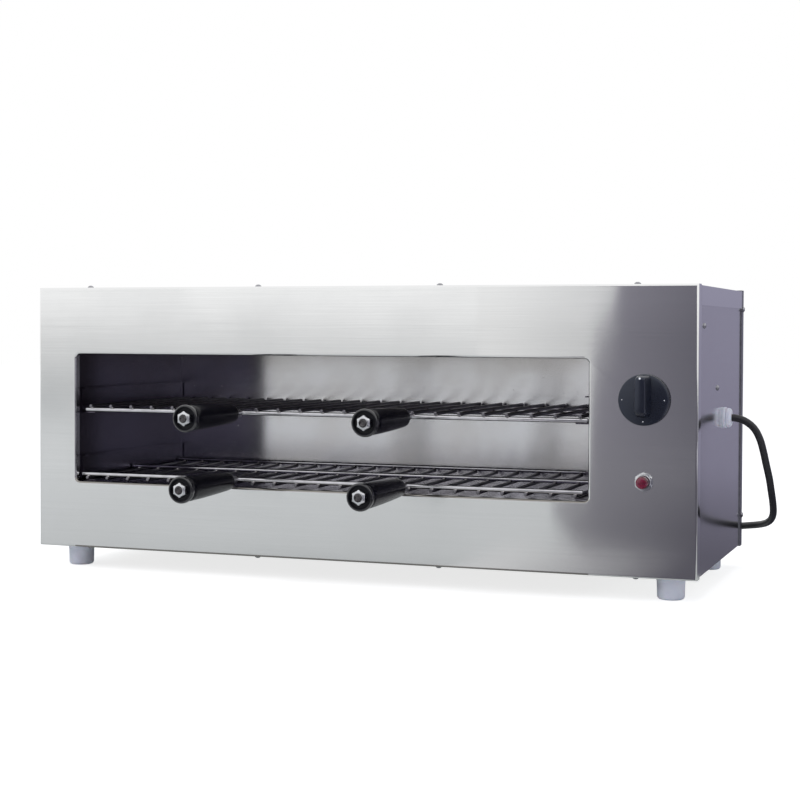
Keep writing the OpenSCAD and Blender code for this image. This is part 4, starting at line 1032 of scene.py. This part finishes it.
# The top cover's flange, the side panel's face under it, and the screws up the flange
FLANGE_X, PANEL_X, SIDE_Z = 381.0, 379.8, (61.0, 301.0)
SMALL_HEAD = 0.72


def edge_screws(y):
    """The screws along a panel's top and bottom flanges."""
    return [screw((x, y, z), axis) for x in EDGE_X for z, axis in ((TOP, Z), (BASE, -Z))]


side_screws = [screw((side * FLANGE_X, REAR_ROW, z), side * X) for side in (-1, 1) for z in SIDE_Z]
solid("front_screws", edge_screws(FRONT_ROW), "root", dull_zinc,
      ("front_panel_screws",))
solid("back_screws", edge_screws(REAR_ROW) + side_screws, "root", dull_zinc,
      ("back_panel_screws",))
for name, y, z, shank, nut_x, node in (
        ("bonding_screw", -50.5, 281, 14, 378.6, "earth_screw"),
        ("block_screw", 35, 215, 12.2, 372.6, "terminal_screw")):
    solid(name, [screw((PANEL_X, y, z), X, shank, SMALL_HEAD),
                 nut((nut_x, y, z), -X, flats=7, height=3.2, bore=2.0, chamfer=0.6)],
          "root", dull_zinc, (node,))


# -------- CAD pieces

for finish, nodes in (
        (front_steel, ("front_panel", "top_cover", "bottom_panel")),
        (back_steel, ("back_panel",)),
        (side_steel, ("left_side_panel", "right_side_panel")),
        (sheath, ("front_element", "rear_element")),
        (steatite, ("element_bushes", "selector_switch")),
        (nylon, ("gland_locknut", "terminal_block")),
        (black_plastic, ("indicator_body",)),
        (lead_skin, ("internal_wiring",)),
        (brass_metal, ("element_terminals",)),
        (zinc, ("selector_shaft", "selector_screws", "foot_screws", "foot_nuts"))):
    for node in nodes:
        merged_copy(node, finish)

PLAIN = {node: {"chamber_steel": shaded_chamber_steel, "insulation": wool}[slot]
         for node, slot in SLOT.items() if slot in ("chamber_steel", "insulation")}
# The rear wall takes the lit copy of the chamber steel, the other chamber pieces the shaded one
PLAIN["rear_inner_wall"] = lit_rear_wall_steel
for node, material in PLAIN.items():
    for slot in frame["nodes"][node].material_slots:
        slot.link = "OBJECT"
        slot.material = material


# -------- stage

def bare_tree(owner):
    """The emptied shader tree of a new material or world."""
    owner.use_nodes = True
    owner.node_tree.nodes.clear()
    return owner.node_tree


def emitter(name, near, far, axis, start, end):
    """A material that only shines, with its colour going from near to far along an axis."""
    made = bpy.data.materials.new(name)
    tree = bare_tree(made)
    place = add(tree, "SeparateXYZ", {"Vector": add(tree, "TexCoord").outputs["Object"]})
    share = add(tree, "MapRange", {"Value": place.outputs[axis], "From Min": start,
                                   "From Max": end})
    colour = add(tree, "Mix", {0: share.outputs["Result"], 6: opaque(near), 7: opaque(far)},
                 data_type="RGBA")
    shine = add(tree, "Emission", {"Color": colour.outputs[2], "Strength": 1.0})
    add(tree, "OutputMaterial", {"Surface": shine.outputs[0]})
    return made


def staged(name, corners, material):
    """A flat piece of the studio, which isn't part of the object."""
    mesh = bpy.data.meshes.new(name)
    mesh.from_pydata(corners, [], [tuple(range(len(corners)))])
    mesh.materials.append(material)
    piece = new_object(name, mesh)
    return piece


def card(name, corners, near, far, axis, start, end):
    """A studio card that only reflections see."""
    piece = staged(name, corners, emitter(name, near, far, axis, start, end))
    for ray in ("camera", "diffuse", "shadow", "transmission", "volume_scatter"):
        setattr(piece, "visible_" + ray, False)


def standing(ax, ay, bx, by):
    """Corners of a card that stands on the floor from a to b."""
    return [(ax, ay, 0), (bx, by, 0), (bx, by, CARD_TOP), (ax, ay, CARD_TOP)]


def lying(ax, ay, bx, by, z):
    """Corners of a card that lies a little over the floor, with a and b opposite."""
    return [(ax, ay, z), (ax, by, z), (bx, by, z), (bx, ay, z)]


# Where the cards stand and lie, metres
CARD_TOP, CARD_LOW, EDGE_CARD_LOW = 0.85, 0.002, 0.003
FRONT_Y, PALE_Y, NEAR_Y, BACK_Y, RIGHT_X = -2.1, -2.15, -0.46, 1.5, 3.4
# The dark card's left edge (x, z) and its floor's (x, y): curves that the steel mirrors
FRONT_EDGE = ((-0.215, 0.0), (-0.212, 0.1), (-0.209, 0.18), (-0.2, 0.23), (-0.184, 0.278),
              (-0.168, 0.312), (-0.155, 0.36), (-0.142, 0.45), (-0.138, CARD_TOP))
FLOOR_EDGE = ((0.175, NEAR_Y), (0.15, -0.506), (0.112, -0.603), (0.074, -0.71), (0.034, -0.83),
              (-0.02, -1.02), (-0.15, -1.864), (-0.21, FRONT_Y))
DUSK, DUSK_RIGHT = (0.244, 0.235, 0.277), (0.152, 0.147, 0.178)
DUSK_FLOOR, DUSK_LOW = (0.232, 0.227, 0.255), (0.115, 0.11, 0.135)
PALE_LEFT, PALE_RIGHT, PALE_FLOOR = (0.9, 0.9, 0.9), (0.71, 0.712, 0.72), (0.72, 0.72, 0.73)
RIGHT, EDGE = (0.66, 0.65, 0.73), (0.62, 0.61, 0.68)
SIDE, SIDE_MIDDLE, SIDE_LOW = (0.29, 0.28, 0.37), (0.245, 0.235, 0.315), (0.125, 0.12, 0.155)
card("dark card", [(x, FRONT_Y, z) for x, z in FRONT_EDGE]
     + [(RIGHT_X, FRONT_Y, CARD_TOP), (RIGHT_X, FRONT_Y, 0)], DUSK, DUSK_RIGHT, "X", -0.2, 0.03)
card("pale card", standing(-0.5, PALE_Y, 0, PALE_Y), PALE_LEFT, PALE_RIGHT, "X", -0.47, -0.2)
card("right card", standing(RIGHT_X, FRONT_Y, RIGHT_X, BACK_Y), RIGHT, RIGHT, "Y", FRONT_Y, BACK_Y)
card("dark card floor", [(x, y, CARD_LOW) for x, y in FLOOR_EDGE]
     + [(RIGHT_X, FRONT_Y, CARD_LOW), (RIGHT_X, NEAR_Y, CARD_LOW)], DUSK_FLOOR, DUSK_LOW,
     "X", 0.06, 0.27)
card("near card floor", lying(0.08, -0.12, RIGHT_X, NEAR_Y, CARD_LOW), PALE_FLOOR, DUSK_LOW,
     "X", 0.12, 0.325)
card("edge card floor", lying(0.52, -0.06, 1.9, -0.95, EDGE_CARD_LOW), EDGE, EDGE, "X", 0.5, 1.9)
card("side card", standing(0.42, BACK_Y, 2.2, BACK_Y), SIDE_MIDDLE, SIDE, "Z", 0.0, 0.36)
card("side card floor", lying(0.383, 0.1, 2.2, BACK_Y, CARD_LOW), SIDE_LOW, SIDE_MIDDLE,
     "Y", 0.25, BACK_Y)


def looking(tree, rays):
    """1 for the camera's rays, mirrors' and those through glass, 0 for light on the object."""
    mirrors = calc(tree, "ADD", rays["Is Camera Ray"], rays["Is Glossy Ray"])
    return calc(tree, "ADD", mirrors, rays["Is Transmission Ray"], clamp=True)


def floor(half, mirrored, strength, share):
    """Pale floor that the camera sees as bright as the background, mirrors see in a colour
    of its own, and the object's shadow is left on."""
    made = bpy.data.materials.new("floor")
    tree = bare_tree(made)
    rays = add(tree, "LightPath").outputs
    lit = add(tree, "BsdfDiffuse", {"Color": (0.9, 0.9, 0.9, 1)})
    seen = add(tree, "Mix", {0: rays["Is Glossy Ray"], 6: WHITE, 7: opaque(mirrored)},
               data_type="RGBA")
    glow = add(tree, "Emission", {"Color": seen.outputs[2], "Strength": strength})
    glowing = calc(tree, "MULTIPLY", looking(tree, rays), share)
    both = add(tree, "MixShader", {0: glowing, 1: lit.outputs[0], 2: glow.outputs[0]})
    add(tree, "OutputMaterial", {"Surface": both.outputs[0]})
    staged("floor", [(-half, -half, 0), (half, -half, 0), (half, half, 0), (-half, half, 0)],
           made)


def backdrop(soft):
    """White to the camera and to mirrors, softer as light on the object."""
    world = bpy.data.worlds.new("studio")
    bpy.context.scene.world = world
    tree = bare_tree(world)
    share = looking(tree, add(tree, "LightPath").outputs)
    colour = add(tree, "Mix", {0: share, 6: opaque(soft), 7: WHITE}, data_type="RGBA")
    light = add(tree, "Background", {"Color": colour.outputs[2], "Strength": 1.0})
    add(tree, "OutputWorld", {"Surface": light.outputs[0]})


def lamp(name, place, target, size, power, colour=(1, 1, 1)):
    """A soft square lamp that lights the object but isn't mirrored in it."""
    light = bpy.data.lights.new(name, "AREA")
    light.size, light.energy, light.color = size, power, colour
    piece = new_object(name, light)
    piece.location = place
    piece.rotation_euler = (Vector(target) - Vector(place)).to_track_quat("-Z", "Y").to_euler()
    piece.visible_glossy = False


floor(half=9, mirrored=(0.179, 0.198, 0.188), strength=1.7, share=0.45)
backdrop(soft=(0.5, 0.51, 0.55))
lamp("key", (-2.3, -2.0, 1.9), (0, 0, 0.15), size=2.0, power=56)
lamp("fill", (2.2, -1.4, 1.3), (0.2, 0, 0.15), size=1.6, power=6, colour=(0.95, 0.96, 1))
lamp("top", (0, 0.6, 2.6), (0, 0, 0.1), size=2.2, power=26)
bpy.context.scene.view_settings.view_transform = "Standard"
